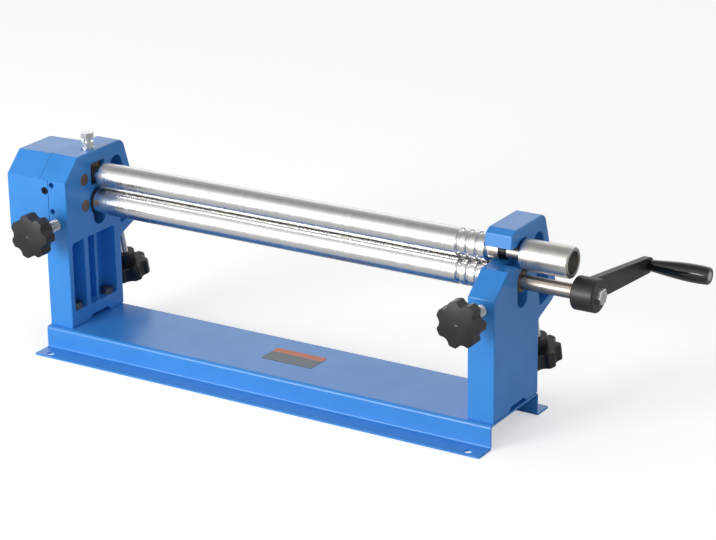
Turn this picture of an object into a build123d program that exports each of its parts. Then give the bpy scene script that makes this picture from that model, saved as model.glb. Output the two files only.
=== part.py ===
from build123d import *
import math
import os

# Hand-cranked slip roll machine for bench use.
# Millimetres. X runs along the rolls (crank at +X), Y to the rear, Z up.
# The origin is the middle of the base, on the bench.

# ---------------------------------------------------------------- driving dimensions

# Base channel, bent from one sheet
base_length = 727.0
base_height = 34.0
base_width = 132.0
flange_width = 31.0
sheet = 2.5
bend_radius = 5.0
flange_corner = 2.5
bench_hole_diameter = 11.0
bench_hole_end_inset = 21.5
bench_hole_edge_inset = 10.0

# Rolls
roll_diameter = 38.0
roll_gap = 0.7
upper_roll_height = 245.7
roll_y = 18.4
upper_roll_left_setback = 52.8
upper_roll_right_setback = 48.1
lower_roll_left_setback = 43.1
lower_roll_right_setback = 45.5
roll_edge = 0.8
groove_radii = (3.5, 3.0, 2.5)
groove_pitch = 13.8
first_groove_from_end = 39.8
journal_diameter = 20.0

# Cast stands
stand_thickness = 40.0
stand_above_roll = 36.7
stand_front = 57.1
stand_back = 65.0
left_kink_drop = 30.4
left_bevel_run = 31.1
top_back = 80.6
top_back_radius = 14.5
rear_lean = 17.6
nose_drop = 123.1
nose_radius = 20.0
underside_slope = 20.6
waist_radius = 8.0
casting_edge = 2.0

# Open jaw of the right stand
jaw_height = 28.0
jaw_kink_drop = 42.1
lower_jaw_lip = 39.4
upper_jaw_lip = 31.4
upper_jaw_face_rise = 17.3
upper_jaw_face_run = 2.5
upper_jaw_top_run = 10.5
seat_depth = 20.5
jaw_lip_edge = 3.0
jaw_face_edge = 2.0

# Recess and foot of each stand
recess_depth = 24.0
recess_floor = 23.0
recess_height = 103.0
recess_front_wall = 8.6
recess_back_wall = 15.0
recess_corner = 6.0
recess_floor_corner = 2.0
front_rib = (-16.0, 9.0, 0.5)  # place, thickness and setback from the face
rear_rib = (20.0, 6.0, 12.0)
notch_height = 7.0
notch_length = 51.0
notch_slope_run = 7.0
notch_corner = 1.5
notch_centre = 8.5

# Sliding bushes of the lower roll
bush_diameter = 27.9
bush_length = 37.0
lower_slot_drop = 22.0
lift_up = 0.65
slot_top_play = 1.2
thrust_washer_diameter = 34.0
thrust_washer_thickness = 5.1
roll_recess_diameter = 43.0
roll_recess_depth = 2.5

# Turning block of the upper roll's left end
block_length = 20.0
block_width = 27.0
pocket_size = 31.6
pocket_rise = 3.2
pivot_tip_diameter = 8.0
pivot_tip_length = 6.0
pivot_bolt_diameter = 10.0
pivot_head_top = 23.6
pivot_head_height = 7.5
pivot_hex = 17.0
bolt_head_edge = 0.8
lock_nut_height = 8.0
pivot_washer_diameter = 20.0
pivot_washer_thickness = 2.0
pivot_inset = 24.5

# Stepped ends of the upper roll
shoulder_diameter = 23.0
right_step_diameter = 27.0
right_step_length = 18.3
stop_ring_diameter = 24.0
stop_ring_length = 9.3
upper_journal_length = 57.0
block_ring_diameter = 24.0
block_ring_thickness = 1.6

# Locking sleeve, pulled out of its seat
sleeve_diameter = 42.0
sleeve_length = 70.0
sleeve_pulled_out = 3.0
sleeve_bore_depth = 25.0
sleeve_mouth_diameter = 31.0
sleeve_edge = 2.0

# Gear train behind the left cover
gear_module = 1.5
dedendum_modules = 1.25
roll_gear_teeth = 16
idler_teeth = 26
gear_width = 16.0
gear_from_stand = 12.5
backlash = 0.16
pressure_angle = 20.0
gear_seat_diameter = 14.0
key_size = 4.0
key_seat_depth = 2.5
idler_pin_diameter = 18.0
idler_hub_diameter = 26.0
ring_thickness = 1.5
ring_height = 3.0
shaft_end_reach = 5.0
grub_diameter = 8.0
grub_length = 12.0
grub_socket = 4.0
grub_socket_depth = 4.0
grub_inset = 15.1

# Gear cover
cover_depth = 66.5
cover_wall = 5.0
cover_bottom_drop = 117.4
cover_back = 55.0
cover_back_radius = 12.0
cover_lip = 8.3
cover_draft = 1.5
cover_gap = 0.8
casting_rim = 5.5
cover_edge = 3.0
cover_screw_diameter = 6.0
cover_screw_head_diameter = 9.5
cover_screw_head_height = 3.0
cover_screw_length = 17.0
cover_screw_socket = 4.0
cover_screw_socket_depth = 2.0
cover_screw_recess = 11.4
cover_screw_drop = 46.4
cover_screw_offset = 2.5
cover_boss_diameter = 13.0
cover_boss_length = 22.0
tab_width = 16.0
tab_drop = 15.0
tab_thickness = 4.0
tab_screw_length = 16.0

# Front adjusting screws
front_screw_diameter = 16.0
front_screw_drop = 19.0
taper_angle = 22.0
taper_end_radius = 2.1
plug_length = 45.0
front_knob_reach = 64.9

# Rear roll in its inclined slots
rear_angle = 12.5
rear_slot_width = 28.0
rear_slot_length = 90.6
rear_slot_top_y = 61.5
rear_slot_top_drop = 33.9
rear_block_height = 34.0
rear_rest = 23.05
rear_roll_left_setback = 43.1
rear_roll_right_setback = 45.5
rear_journal_diameter = 18.0
rear_journal_in_roll = 30.0
rear_screw_diameter = 10.0
rear_screw_offset = 4.0
rear_screw_seat = 6.5
rear_knob_reach = 76.0

# Star knobs
knob_diameter = 63.0
knob_thickness = 24.0
knob_lobes = 7
knob_scallop_radius = 9.0
knob_scallop_depth = 5.5
knob_dome = 3.0
knob_edge = 2.5
knob_lobe_edge = 4.0
knob_boss_diameter = 28.0
knob_boss_length = 16.0
knob_grip_on_screw = 30.0

# Crank
hub_gap = 78.5
hub_length = 32.0
hub_diameter = 45.0
hub_edge = 2.5
hub_end_wall = 2.5
crank_radius = 191.0
crank_droop = 6.3
arm_thickness = 10.0
arm_setback = 4.0
arm_hub_width = 33.0
arm_end_width = 22.0
crank_bolt_hex = 19.0
crank_bolt_head = 6.5
crank_bolt_diameter = 12.0
crank_bolt_length = 30.0
crank_bolt_dimple_diameter = 6.0
crank_bolt_dimple_depth = 1.0
grip_length = 87.0
grip_gap = 0.5
grip_small_diameter = 16.0
grip_large_diameter = 25.0
grip_end_round = 2.0
grip_waist_place = 0.2
grip_waist_swell = 0.34
grip_widest_place = 0.62
spindle_diameter = 8.0
spindle_head_diameter = 12.0
spindle_head_height = 2.5

# Bolts that hold the stands down
foot_bolt_diameter = 10.0
foot_bolt_hex = 16.0
foot_bolt_head = 6.4
foot_bolt_below = 13.0
foot_bolt_inset = 29.5
foot_bolt_places = (-33.5, 38.5)
foot_washer_diameter = 18.0
foot_washer_thickness = 2.0
foot_nut_height = 8.0

# Clearances
running_fit = 0.05
end_play = 0.2
face_gap = 0.3
thread_fit = 0.05

# ---------------------------------------------------------------- worked-out places

half_length = base_length / 2
inner_face = half_length - stand_thickness
stand_middle = half_length - stand_thickness / 2
stand_height = upper_roll_height + stand_above_roll - base_height
stand_top = base_height + stand_height
roll_radius = roll_diameter / 2
lower_roll_height = upper_roll_height - roll_diameter - roll_gap
upper_left_end = -(half_length - upper_roll_left_setback)
upper_right_end = half_length - upper_roll_right_setback
lower_left_end = -(half_length - lower_roll_left_setback)
lower_right_end = half_length - lower_roll_right_setback

gear_near = -(half_length + gear_from_stand)
gear_far = gear_near - gear_width
shaft_end = gear_far - shaft_end_reach
roll_gear_radius = gear_module * roll_gear_teeth / 2
idler_radius = gear_module * idler_teeth / 2
idler_y = roll_y - roll_gear_radius - idler_radius
gears_middle_height = (upper_roll_height + lower_roll_height) / 2
upper_idler_height = gears_middle_height + idler_radius
lower_idler_height = gears_middle_height - idler_radius
lower_gear_place = (roll_y, lower_roll_height)
lower_idler_place = (idler_y, lower_idler_height)
upper_idler_place = (idler_y, upper_idler_height)
upper_gear_place = (roll_y, upper_roll_height)
key_bottom = gear_seat_diameter / 2 - key_seat_depth
key_top = key_bottom + key_size

mouth_z = upper_roll_height
nose_corner_height = stand_top - nose_drop
nose_corner_y = top_back + nose_drop * math.tan(math.radians(rear_lean))
underside_tan = math.tan(math.radians(underside_slope))
waist_height = nose_corner_height - (nose_corner_y - stand_back) * underside_tan

cover_bottom = stand_top - cover_bottom_drop
kink_height = stand_top - left_kink_drop
bevel_top_y = left_bevel_run - stand_front
cover_parting = -(half_length - cover_lip)
cover_end = -(half_length + cover_depth)
cover_screw_x = -(half_length - cover_screw_offset)
cover_screw_height = stand_top - cover_screw_drop
tab_height = cover_bottom - tab_drop / 2
rebate_depth = cover_wall + 2 * end_play

block_front = -(half_length - pivot_inset) + block_length / 2
block_back = -(half_length - pivot_inset) - block_length / 2
pivot_x = -(half_length - pivot_inset)
pocket_middle = upper_roll_height + pocket_rise

rear_sin = math.sin(math.radians(rear_angle))
rear_cos = math.cos(math.radians(rear_angle))
rear_slot_top_z = stand_top - rear_slot_top_drop
rear_roll_y = rear_slot_top_y + rear_rest * rear_sin
rear_roll_z = rear_slot_top_z - rear_rest * rear_cos
rear_screw_y = rear_roll_y + rear_screw_offset * rear_cos
rear_screw_z = rear_roll_z + rear_screw_offset * rear_sin
# length down the screw from the roll's level to the sloping underside of the stand
rear_exit = (
    rear_screw_z - nose_corner_height + (nose_corner_y - rear_screw_y) * underside_tan
) / (rear_cos + rear_sin * underside_tan)

front_screw_height = lower_roll_height - front_screw_drop
taper_sin = math.sin(math.radians(taper_angle))
taper_cos = math.cos(math.radians(taper_angle))
taper_tan = math.tan(math.radians(taper_angle))
# the taper's upper line passes just under the bush
taper_touch_y = roll_y - (bush_diameter / 2 + end_play) * taper_sin
taper_touch_z = lower_roll_height - (bush_diameter / 2 + end_play) * taper_cos
taper_start = taper_touch_y - (
    front_screw_height + front_screw_diameter / 2 - taper_touch_z
) / taper_tan
taper_length = (front_screw_diameter / 2 - taper_end_radius) / taper_tan
plug_back = taper_start + taper_length - plug_length

sleeve_start = half_length + sleeve_pulled_out
hub_start = half_length + hub_gap
hub_end = hub_start + hub_length
arm_start = hub_start + arm_setback
grip_y = roll_y + crank_radius * math.cos(math.radians(crank_droop))
grip_z = lower_roll_height - crank_radius * math.sin(math.radians(crank_droop))
grip_start = arm_start + arm_thickness + grip_gap
grip_end = grip_start + grip_length


# ---------------------------------------------------------------- planes and profiles


def across(x, y=0.0, z=0.0):
    """Plane square to the rolls, drawn in Y and Z, facing +X."""
    return Plane(origin=(x, y, z), x_dir=(0, 1, 0), z_dir=(1, 0, 0))


def facing_back(x, y, z):
    """Plane square to Y, drawn in -X and Z, facing +Y."""
    return Plane(origin=(x, y, z), x_dir=(-1, 0, 0), z_dir=(0, 1, 0))


def down_the_rear_screw(x, distance):
    """Plane square to a rear screw, that far below the rear roll's level, facing down."""
    y = rear_screw_y + distance * rear_sin
    z = rear_screw_z - distance * rear_cos
    return Plane(origin=(x, y, z), x_dir=(1, 0, 0), z_dir=(0, rear_sin, -rear_cos))


def along_the_rear_slot(x):
    """Plane across the rolls at the rear roll's rest, with its second axis up the slot."""
    return Plane(
        origin=(x, rear_roll_y, rear_roll_z), x_dir=(0, rear_cos, rear_sin), z_dir=(1, 0, 0)
    )


def outline(plane, points, radii):
    """Filled closed outline with one fillet radius for each corner."""
    with BuildSketch(plane) as area:
        with BuildLine():
            FilletPolyline(*points, radius=radii, close=True)
        make_face()
    return area.sketch


def disc(plane, diameter):
    """Filled circle on a plane."""
    with BuildSketch(plane) as area:
        Circle(diameter / 2)
    return area.sketch


def hexagon(plane, across_flats):
    """Filled hexagon on a plane, by its width across flats."""
    with BuildSketch(plane) as area:
        RegularPolygon(across_flats / 2, 6, major_radius=False)
    return area.sketch


def rear_profile():
    """Corners shared by both stands, from the top rear edge down to the foot."""
    points = [
        (top_back, stand_top),
        (nose_corner_y, nose_corner_height),
        (stand_back, waist_height),
        (stand_back, base_height),
    ]
    return points, [top_back_radius, nose_radius, waist_radius, 0]


def lower_slot(plane):
    """Upright slot for the lower roll's bush."""
    width = bush_diameter + 2 * running_fit
    low = lower_roll_height - lower_slot_drop
    high = lower_roll_height + lift_up + slot_top_play
    with BuildSketch(plane) as area:
        with Locations((roll_y, (low + high) / 2)):
            SlotCenterToCenter(high - low, width, rotation=90)
    return area.sketch


def rear_slot(plane):
    """Inclined slot for the rear roll's block, round at its top and square at its foot."""
    with BuildSketch(plane) as area:
        with Locations((0, rear_rest)):
            Circle(rear_slot_width / 2)
        with Locations((0, rear_rest)):
            Rectangle(rear_slot_width, rear_slot_length, align=(Align.CENTER, Align.MAX))
    return area.sketch


def foot_notch(plane):
    """Low arch between the two feet of a stand."""
    half = notch_length / 2
    points = [
        (notch_centre - half, base_height),
        (notch_centre - half + notch_slope_run, base_height + notch_height),
        (notch_centre + half - notch_slope_run, base_height + notch_height),
        (notch_centre + half, base_height),
    ]
    return outline(plane, points, [0, notch_corner, notch_corner, 0])


def recess(plane):
    """Panel recess in a stand's inner face."""
    low = base_height + recess_floor
    points = [
        (recess_front_wall - stand_front, low),
        (recess_front_wall - stand_front, low + recess_height),
        (stand_back - recess_back_wall, low + recess_height),
        (stand_back - recess_back_wall, low),
    ]
    radii = [recess_floor_corner, recess_corner, recess_corner, recess_floor_corner]
    return outline(plane, points, radii)


def cover_profile(plane, inset):
    """Side profile of the gear cover, drawn in by the given amount."""
    corner = math.tan(math.radians(math.degrees(math.atan2(left_kink_drop, left_bevel_run)) / 2))
    kink_shift = inset * math.tan(math.radians(45) - math.atan(corner))
    points = [
        (inset - stand_front, cover_bottom + inset),
        (inset - stand_front, kink_height - kink_shift),
        (bevel_top_y + inset * corner, stand_top - inset),
        (cover_back - inset, stand_top - inset),
        (cover_back - inset, cover_bottom + inset),
    ]
    inner_radius = cover_back_radius - inset
    return outline(plane, points, [0, 0, 0, inner_radius, 0])


def polar(radius, angle):
    """Point at a radius and an angle in radians."""
    return (radius * math.cos(angle), radius * math.sin(angle))


def gear_profile(plane, teeth, first_tooth, bore):
    """Involute spur gear with its first tooth at an angle in radians, and its bore."""
    pitch_radius = gear_module * teeth / 2
    base_radius = pitch_radius * math.cos(math.radians(pressure_angle))
    tip_radius = pitch_radius + gear_module
    root_radius = pitch_radius - dedendum_modules * gear_module
    involute = math.tan(math.radians(pressure_angle)) - math.radians(pressure_angle)
    half_tooth = (math.pi * gear_module - backlash) / (4 * pitch_radius)
    start_radius = max(base_radius, root_radius)
    flank = []
    for step in range(5):
        radius = start_radius + (tip_radius - start_radius) * step / 4
        roll = math.sqrt(max((radius / base_radius) ** 2 - 1, 0))
        flank.append((radius, half_tooth + involute - (roll - math.atan(roll))))
    pitch_step = 2 * math.pi / teeth
    root_half = flank[0][1]
    with BuildSketch(plane) as area:
        with BuildLine():
            for tooth in range(teeth):
                middle = first_tooth + tooth * pitch_step
                rising = [polar(radius, middle - half) for radius, half in flank]
                falling = [polar(radius, middle + half) for radius, half in reversed(flank)]
                if root_radius < base_radius:
                    Line(polar(root_radius, middle - root_half), rising[0])
                    Line(falling[-1], polar(root_radius, middle + root_half))
                Spline(*rising)
                ThreePointArc(rising[-1], polar(tip_radius, middle), falling[0])
                Spline(*falling)
                ThreePointArc(
                    polar(root_radius, middle + root_half),
                    polar(root_radius, middle + pitch_step / 2),
                    polar(root_radius, middle + pitch_step - root_half),
                )
        make_face()
        Circle(bore / 2, mode=Mode.SUBTRACT)
    return area.sketch


def meshed_phase(teeth, place, phase, mate_teeth, mate_place):
    """Angle of the mate's first tooth that puts its gap over this gear's tooth."""
    toward = math.atan2(mate_place[1] - place[1], mate_place[0] - place[0])
    tooth_phase = teeth * (toward - phase)
    return toward + math.pi - (math.pi - tooth_phase) / mate_teeth


def key_section(place, near, far):
    """Section of a gear key or of its slot, between two distances from the shaft's axis."""
    points = [(near, -key_size / 2), (far, -key_size / 2), (far, key_size / 2), (near, key_size / 2)]
    return outline(across(gear_far, *place), points, 0)


def knob_profile(plane):
    """Star knob outline with rounded lobes."""
    scallop_centre = knob_diameter / 2 - knob_scallop_depth + knob_scallop_radius
    with BuildSketch(plane) as area:
        Circle(knob_diameter / 2)
        with PolarLocations(scallop_centre, knob_lobes):
            Circle(knob_scallop_radius, mode=Mode.SUBTRACT)
        fillet(area.vertices(), knob_lobe_edge)
    return area.sketch


# ---------------------------------------------------------------- base

half_width = base_width / 2
flange_edge = half_width + flange_width
channel_points = [
    (-flange_edge, 0),
    (-half_width + sheet, 0),
    (-half_width + sheet, base_height - sheet),
    (half_width - sheet, base_height - sheet),
    (half_width - sheet, 0),
    (flange_edge, 0),
    (flange_edge, sheet),
    (half_width, sheet),
    (half_width, base_height),
    (-half_width, base_height),
    (-half_width, sheet),
    (-flange_edge, sheet),
]
inner_bend = bend_radius - sheet
channel_radii = [0, bend_radius, inner_bend, inner_bend, bend_radius, 0]
channel_radii += [0, inner_bend, bend_radius, bend_radius, inner_bend, 0]
bench_hole_x = half_length - bench_hole_end_inset
bench_hole_y = flange_edge - bench_hole_edge_inset

with BuildPart() as base_plate:
    extrude(outline(across(-half_length), channel_points, channel_radii), amount=base_length)
    corners = base_plate.edges().filter_by(Axis.Z).group_by(SortBy.LENGTH)[0]
    fillet(corners, flange_corner)
    with Locations(Plane.XY.offset(sheet)):
        with GridLocations(2 * bench_hole_x, 2 * bench_hole_y, 2, 2):
            Hole(bench_hole_diameter / 2, depth=2 * sheet)
    with Locations(Plane.XY.offset(base_height)):
        with Locations(
            *[(side * (half_length - foot_bolt_inset), y) for side in (-1, 1) for y in foot_bolt_places]
        ):
            Hole(foot_bolt_diameter / 2 + running_fit, depth=2 * sheet)
base_plate.part.label = "base_plate"

# ---------------------------------------------------------------- stands

rear_points, rear_radii = rear_profile()
left_points = [
    (-stand_front, base_height),
    (-stand_front, kink_height),
    (bevel_top_y, stand_top),
]
right_points = [
    (-stand_front, base_height),
    (-stand_front, mouth_z - jaw_kink_drop),
    (-lower_jaw_lip + roll_y, mouth_z - jaw_height / 2),
    (-upper_jaw_lip + roll_y, mouth_z + jaw_height / 2),
    (-upper_jaw_lip + roll_y + upper_jaw_face_run, mouth_z + jaw_height / 2 + upper_jaw_face_rise),
    (-upper_jaw_lip + roll_y + upper_jaw_face_run + upper_jaw_top_run, stand_top),
]
foot_top = base_height + recess_floor
bolt_hole = foot_bolt_diameter + 2 * running_fit

with BuildPart() as left_stand:
    profile = outline(across(-half_length), left_points + rear_points, [0, 0, 0] + rear_radii)
    extrude(profile, amount=stand_thickness)
    inner_outline = left_stand.faces().sort_by(Axis.X)[-1].edges()
    fillet(inner_outline + left_stand.edges().filter_by(Axis.Z).sort_by(Axis.Y)[0:2].sort_by(Axis.X)[0:1], casting_edge)
    # rim that meets the cover along the bevel and the top
    extrude(cover_profile(across(-half_length), 0), amount=-casting_rim)
    extrude(cover_profile(across(-half_length), cover_wall), amount=-casting_rim, mode=Mode.SUBTRACT)
    with BuildSketch(across(-half_length)) as below_rim:
        with Locations((0, kink_height)):
            Rectangle(2 * half_width, stand_height, align=(Align.CENTER, Align.MAX))
    extrude(below_rim.sketch, amount=-casting_rim, mode=Mode.SUBTRACT)
    # rebate under the cover's front lip
    with BuildSketch(across(-half_length)) as rebate:
        with Locations((-stand_front, cover_bottom - end_play)):
            Rectangle(
                rebate_depth,
                kink_height - cover_bottom + 2 * end_play,
                align=(Align.MIN, Align.MIN),
            )
    extrude(rebate.sketch, amount=cover_lip + cover_gap, mode=Mode.SUBTRACT)
    # boss for the cover's front screw, on the rebate
    boss_y = rebate_depth - stand_front
    extrude(
        disc(facing_back(cover_screw_x, boss_y, cover_screw_height), cover_boss_diameter),
        amount=cover_boss_length,
    )
    # ribbed recess, foot notch and holes
    extrude(recess(across(-inner_face)), amount=-recess_depth, mode=Mode.SUBTRACT)
    for place, thickness, setback in (front_rib, rear_rib):
        with BuildSketch(across(-half_length + stand_thickness - recess_depth)) as rib:
            with Locations((place, foot_top)):
                Rectangle(thickness, recess_height, align=(Align.CENTER, Align.MIN))
        extrude(rib.sketch, amount=recess_depth - setback)
    extrude(foot_notch(across(-half_length)), amount=stand_thickness, mode=Mode.SUBTRACT)
    extrude(lower_slot(across(-half_length)), amount=stand_thickness, mode=Mode.SUBTRACT)
    extrude(rear_slot(along_the_rear_slot(-half_length)), amount=stand_thickness, mode=Mode.SUBTRACT)
    with BuildSketch(across(-half_length)) as pocket:
        with Locations((roll_y, pocket_middle)):
            Rectangle(pocket_size, pocket_size)
    extrude(pocket.sketch, amount=stand_thickness, mode=Mode.SUBTRACT)
    roll_recess = disc(across(-inner_face, roll_y, lower_roll_height), roll_recess_diameter)
    extrude(roll_recess, amount=-roll_recess_depth, mode=Mode.SUBTRACT)
    for height in (upper_idler_height, lower_idler_height):
        pin_hole = disc(across(-half_length - casting_rim, idler_y, height), idler_pin_diameter)
        extrude(pin_hole, amount=stand_thickness + casting_rim, mode=Mode.SUBTRACT)
        grub_hole = disc(facing_back(-(half_length - grub_inset), -stand_front, height), grub_diameter)
        extrude(grub_hole, amount=idler_y + stand_front, mode=Mode.SUBTRACT)
    extrude(
        disc(facing_back(-stand_middle, -stand_front, front_screw_height),
             front_screw_diameter + 2 * running_fit),
        amount=stand_front + roll_y,
        mode=Mode.SUBTRACT,
    )
    extrude(
        disc(down_the_rear_screw(-stand_middle, 0), rear_screw_diameter + 2 * thread_fit),
        amount=rear_exit + nose_radius,
        mode=Mode.SUBTRACT,
    )
    extrude(
        disc(facing_back(cover_screw_x, -stand_front, cover_screw_height), cover_screw_diameter),
        amount=cover_screw_length + cover_screw_head_height,
        mode=Mode.SUBTRACT,
    )
    extrude(
        disc(across(-half_length, 0, tab_height), cover_screw_diameter),
        amount=tab_screw_length - tab_thickness,
        mode=Mode.SUBTRACT,
    )
    with Locations(Plane.XY.offset(stand_top)):
        with Locations((pivot_x, roll_y)):
            Hole(pivot_bolt_diameter / 2, depth=stand_top - upper_roll_height)
    with Locations(Plane.XY.offset(foot_top)):
        with Locations(*[(-(half_length - foot_bolt_inset), y) for y in foot_bolt_places]):
            Hole(bolt_hole / 2, depth=recess_floor)
left_stand.part.label = "left_stand"

with BuildPart() as right_stand:
    profile = outline(
        across(inner_face),
        right_points + rear_points,
        [0, jaw_lip_edge, jaw_face_edge, jaw_face_edge, jaw_lip_edge, 0] + rear_radii,
    )
    extrude(profile, amount=stand_thickness)
    fillet(right_stand.faces().filter_by(Axis.X).edges(), casting_edge)
    # open jaw with a round back
    with BuildSketch(across(inner_face)) as jaw:
        with Locations((roll_y, mouth_z)):
            Circle(jaw_height / 2)
            Rectangle(2 * stand_front, jaw_height, align=(Align.MAX, Align.CENTER))
    extrude(jaw.sketch, amount=stand_thickness, mode=Mode.SUBTRACT)
    # round seat that the locking sleeve slides into
    seat = disc(across(half_length, roll_y, mouth_z), sleeve_diameter + 2 * running_fit)
    extrude(seat, amount=-seat_depth, mode=Mode.SUBTRACT)
    extrude(recess(across(inner_face)), amount=recess_depth, mode=Mode.SUBTRACT)
    for place, thickness, setback in (front_rib, rear_rib):
        with BuildSketch(across(inner_face + setback)) as rib:
            with Locations((place, foot_top)):
                Rectangle(thickness, recess_height, align=(Align.CENTER, Align.MIN))
        extrude(rib.sketch, amount=recess_depth - setback)
    extrude(foot_notch(across(inner_face)), amount=stand_thickness, mode=Mode.SUBTRACT)
    extrude(lower_slot(across(inner_face)), amount=stand_thickness, mode=Mode.SUBTRACT)
    extrude(rear_slot(along_the_rear_slot(inner_face)), amount=stand_thickness, mode=Mode.SUBTRACT)
    extrude(
        disc(facing_back(stand_middle, -stand_front, front_screw_height),
             front_screw_diameter + 2 * running_fit),
        amount=stand_front + roll_y,
        mode=Mode.SUBTRACT,
    )
    extrude(
        disc(down_the_rear_screw(stand_middle, 0), rear_screw_diameter + 2 * thread_fit),
        amount=rear_exit + nose_radius,
        mode=Mode.SUBTRACT,
    )
    with Locations(Plane.XY.offset(foot_top)):
        with Locations(*[(half_length - foot_bolt_inset, y) for y in foot_bolt_places]):
            Hole(bolt_hole / 2, depth=recess_floor)
right_stand.part.label = "right_stand"

# ---------------------------------------------------------------- gear cover

with BuildPart() as gear_cover:
    depth = cover_parting - cover_end
    extrude(cover_profile(across(cover_parting), 0), amount=-depth, taper=cover_draft)
    outer_rim = gear_cover.faces().sort_by(Axis.X)[0].edges()
    fillet(outer_rim, cover_edge)
    extrude(
        cover_profile(across(cover_parting), cover_wall),
        amount=-(depth - cover_wall),
        taper=cover_draft,
        mode=Mode.SUBTRACT,
    )
    # the casting's own rim takes the place of the cover along the bevel and the top
    with BuildSketch(across(cover_parting)) as over_the_rim:
        with Locations((0, kink_height)):
            Rectangle(2 * half_width, stand_height, align=(Align.CENTER, Align.MIN))
    extrude(
        over_the_rim.sketch,
        amount=-(cover_lip + casting_rim + cover_gap),
        mode=Mode.SUBTRACT,
    )
    # behind the front lip the cover only butts against the casting
    with BuildSketch(across(cover_parting)) as behind_the_lip:
        with Locations((cover_wall - stand_front, kink_height)):
            Rectangle(2 * stand_front + 2 * cover_back, stand_height, align=(Align.MIN, Align.MAX))
    extrude(behind_the_lip.sketch, amount=-(cover_lip + end_play), mode=Mode.SUBTRACT)
    # recess and hole for the front screw
    screw_face = facing_back(cover_screw_x, -stand_front, cover_screw_height)
    extrude(disc(screw_face, cover_screw_recess), amount=cover_screw_head_height, mode=Mode.SUBTRACT)
    extrude(disc(screw_face, cover_screw_diameter), amount=2 * cover_wall, mode=Mode.SUBTRACT)
    # tab under the cover, for the second screw
    with BuildSketch(across(-half_length - end_play)) as tab:
        with Locations((0, cover_bottom + cover_wall)):
            Rectangle(tab_width, tab_drop + cover_wall, align=(Align.CENTER, Align.MAX))
        with Locations((0, tab_height)):
            Circle(cover_screw_diameter / 2, mode=Mode.SUBTRACT)
    extrude(tab.sketch, amount=-tab_thickness)
gear_cover.part.label = "gear_cover"

with BuildPart() as cover_screws:
    seat_y = cover_screw_head_height - stand_front
    seat_plane = facing_back(cover_screw_x, seat_y, cover_screw_height)
    extrude(disc(seat_plane, cover_screw_diameter), amount=cover_screw_length)
    extrude(disc(seat_plane, cover_screw_head_diameter), amount=-cover_screw_head_height)
    head_plane = facing_back(cover_screw_x, -stand_front, cover_screw_height)
    extrude(
        hexagon(head_plane, cover_screw_socket),
        amount=cover_screw_socket_depth,
        mode=Mode.SUBTRACT,
    )
    tab_face = across(-half_length - end_play - tab_thickness, 0, tab_height)
    extrude(disc(tab_face, cover_screw_diameter), amount=tab_screw_length)
    extrude(disc(tab_face, cover_screw_head_diameter), amount=-cover_screw_head_height)
    extrude(
        hexagon(
            across(tab_face.origin.X - cover_screw_head_height, 0, tab_height),
            cover_screw_socket,
        ),
        amount=cover_screw_socket_depth,
        mode=Mode.SUBTRACT,
    )
cover_screws.part.label = "cover_screws"

# ---------------------------------------------------------------- rolls

groove_places = [
    half_length - upper_roll_right_setback - first_groove_from_end + groove_pitch * step
    for step in range(len(groove_radii))
]


def roll_grooves(height):
    """Half-round wire grooves, as rings to take away from a roll."""
    with BuildPart() as rings:
        for x, radius in zip(groove_places, groove_radii):
            with BuildSketch(Plane(origin=(x, roll_y, height), x_dir=(1, 0, 0), z_dir=(0, -1, 0))):
                with Locations((0, roll_radius)):
                    Circle(radius)
            revolve(axis=Axis((x, roll_y, height), (1, 0, 0)))
    return rings.part


with BuildPart() as upper_roll:
    extrude(
        disc(across(upper_left_end, roll_y, upper_roll_height), roll_diameter),
        amount=upper_right_end - upper_left_end,
    )
    chamfer(upper_roll.edges(), roll_edge)
    add(roll_grooves(upper_roll_height), mode=Mode.SUBTRACT)
    shoulder_end = block_front + end_play
    extrude(
        disc(across(shoulder_end, roll_y, upper_roll_height), shoulder_diameter),
        amount=upper_left_end - shoulder_end,
    )
    extrude(
        disc(across(gear_near + end_play, roll_y, upper_roll_height), journal_diameter),
        amount=shoulder_end - gear_near - end_play,
    )
    extrude(
        disc(across(shaft_end, roll_y, upper_roll_height), gear_seat_diameter),
        amount=gear_near + end_play - shaft_end,
    )
    extrude(
        disc(across(upper_right_end, roll_y, upper_roll_height), right_step_diameter),
        amount=right_step_length,
    )
    extrude(
        disc(across(upper_right_end + right_step_length, roll_y, upper_roll_height), journal_diameter),
        amount=stop_ring_length + upper_journal_length,
    )
    extrude(
        key_section(upper_gear_place, key_bottom, gear_seat_diameter),
        amount=gear_width,
        mode=Mode.SUBTRACT,
    )
upper_roll.part.label = "upper_roll"

with BuildPart() as lower_roll:
    extrude(
        disc(across(lower_left_end, roll_y, lower_roll_height), roll_diameter),
        amount=lower_right_end - lower_left_end,
    )
    chamfer(lower_roll.edges(), roll_edge)
    add(roll_grooves(lower_roll_height), mode=Mode.SUBTRACT)
    extrude(
        disc(across(gear_near + end_play, roll_y, lower_roll_height), journal_diameter),
        amount=lower_left_end - gear_near - end_play,
    )
    extrude(
        disc(across(shaft_end, roll_y, lower_roll_height), gear_seat_diameter),
        amount=gear_near + end_play - shaft_end,
    )
    shaft_right_end = hub_end - hub_end_wall
    extrude(
        disc(across(lower_right_end, roll_y, lower_roll_height), journal_diameter),
        amount=shaft_right_end - lower_right_end,
    )
    extrude(
        disc(across(shaft_right_end, roll_y, lower_roll_height), crank_bolt_diameter),
        amount=-crank_bolt_length,
        mode=Mode.SUBTRACT,
    )
    extrude(
        key_section(lower_gear_place, key_bottom, gear_seat_diameter),
        amount=gear_width,
        mode=Mode.SUBTRACT,
    )
lower_roll.part.label = "lower_roll"

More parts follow.
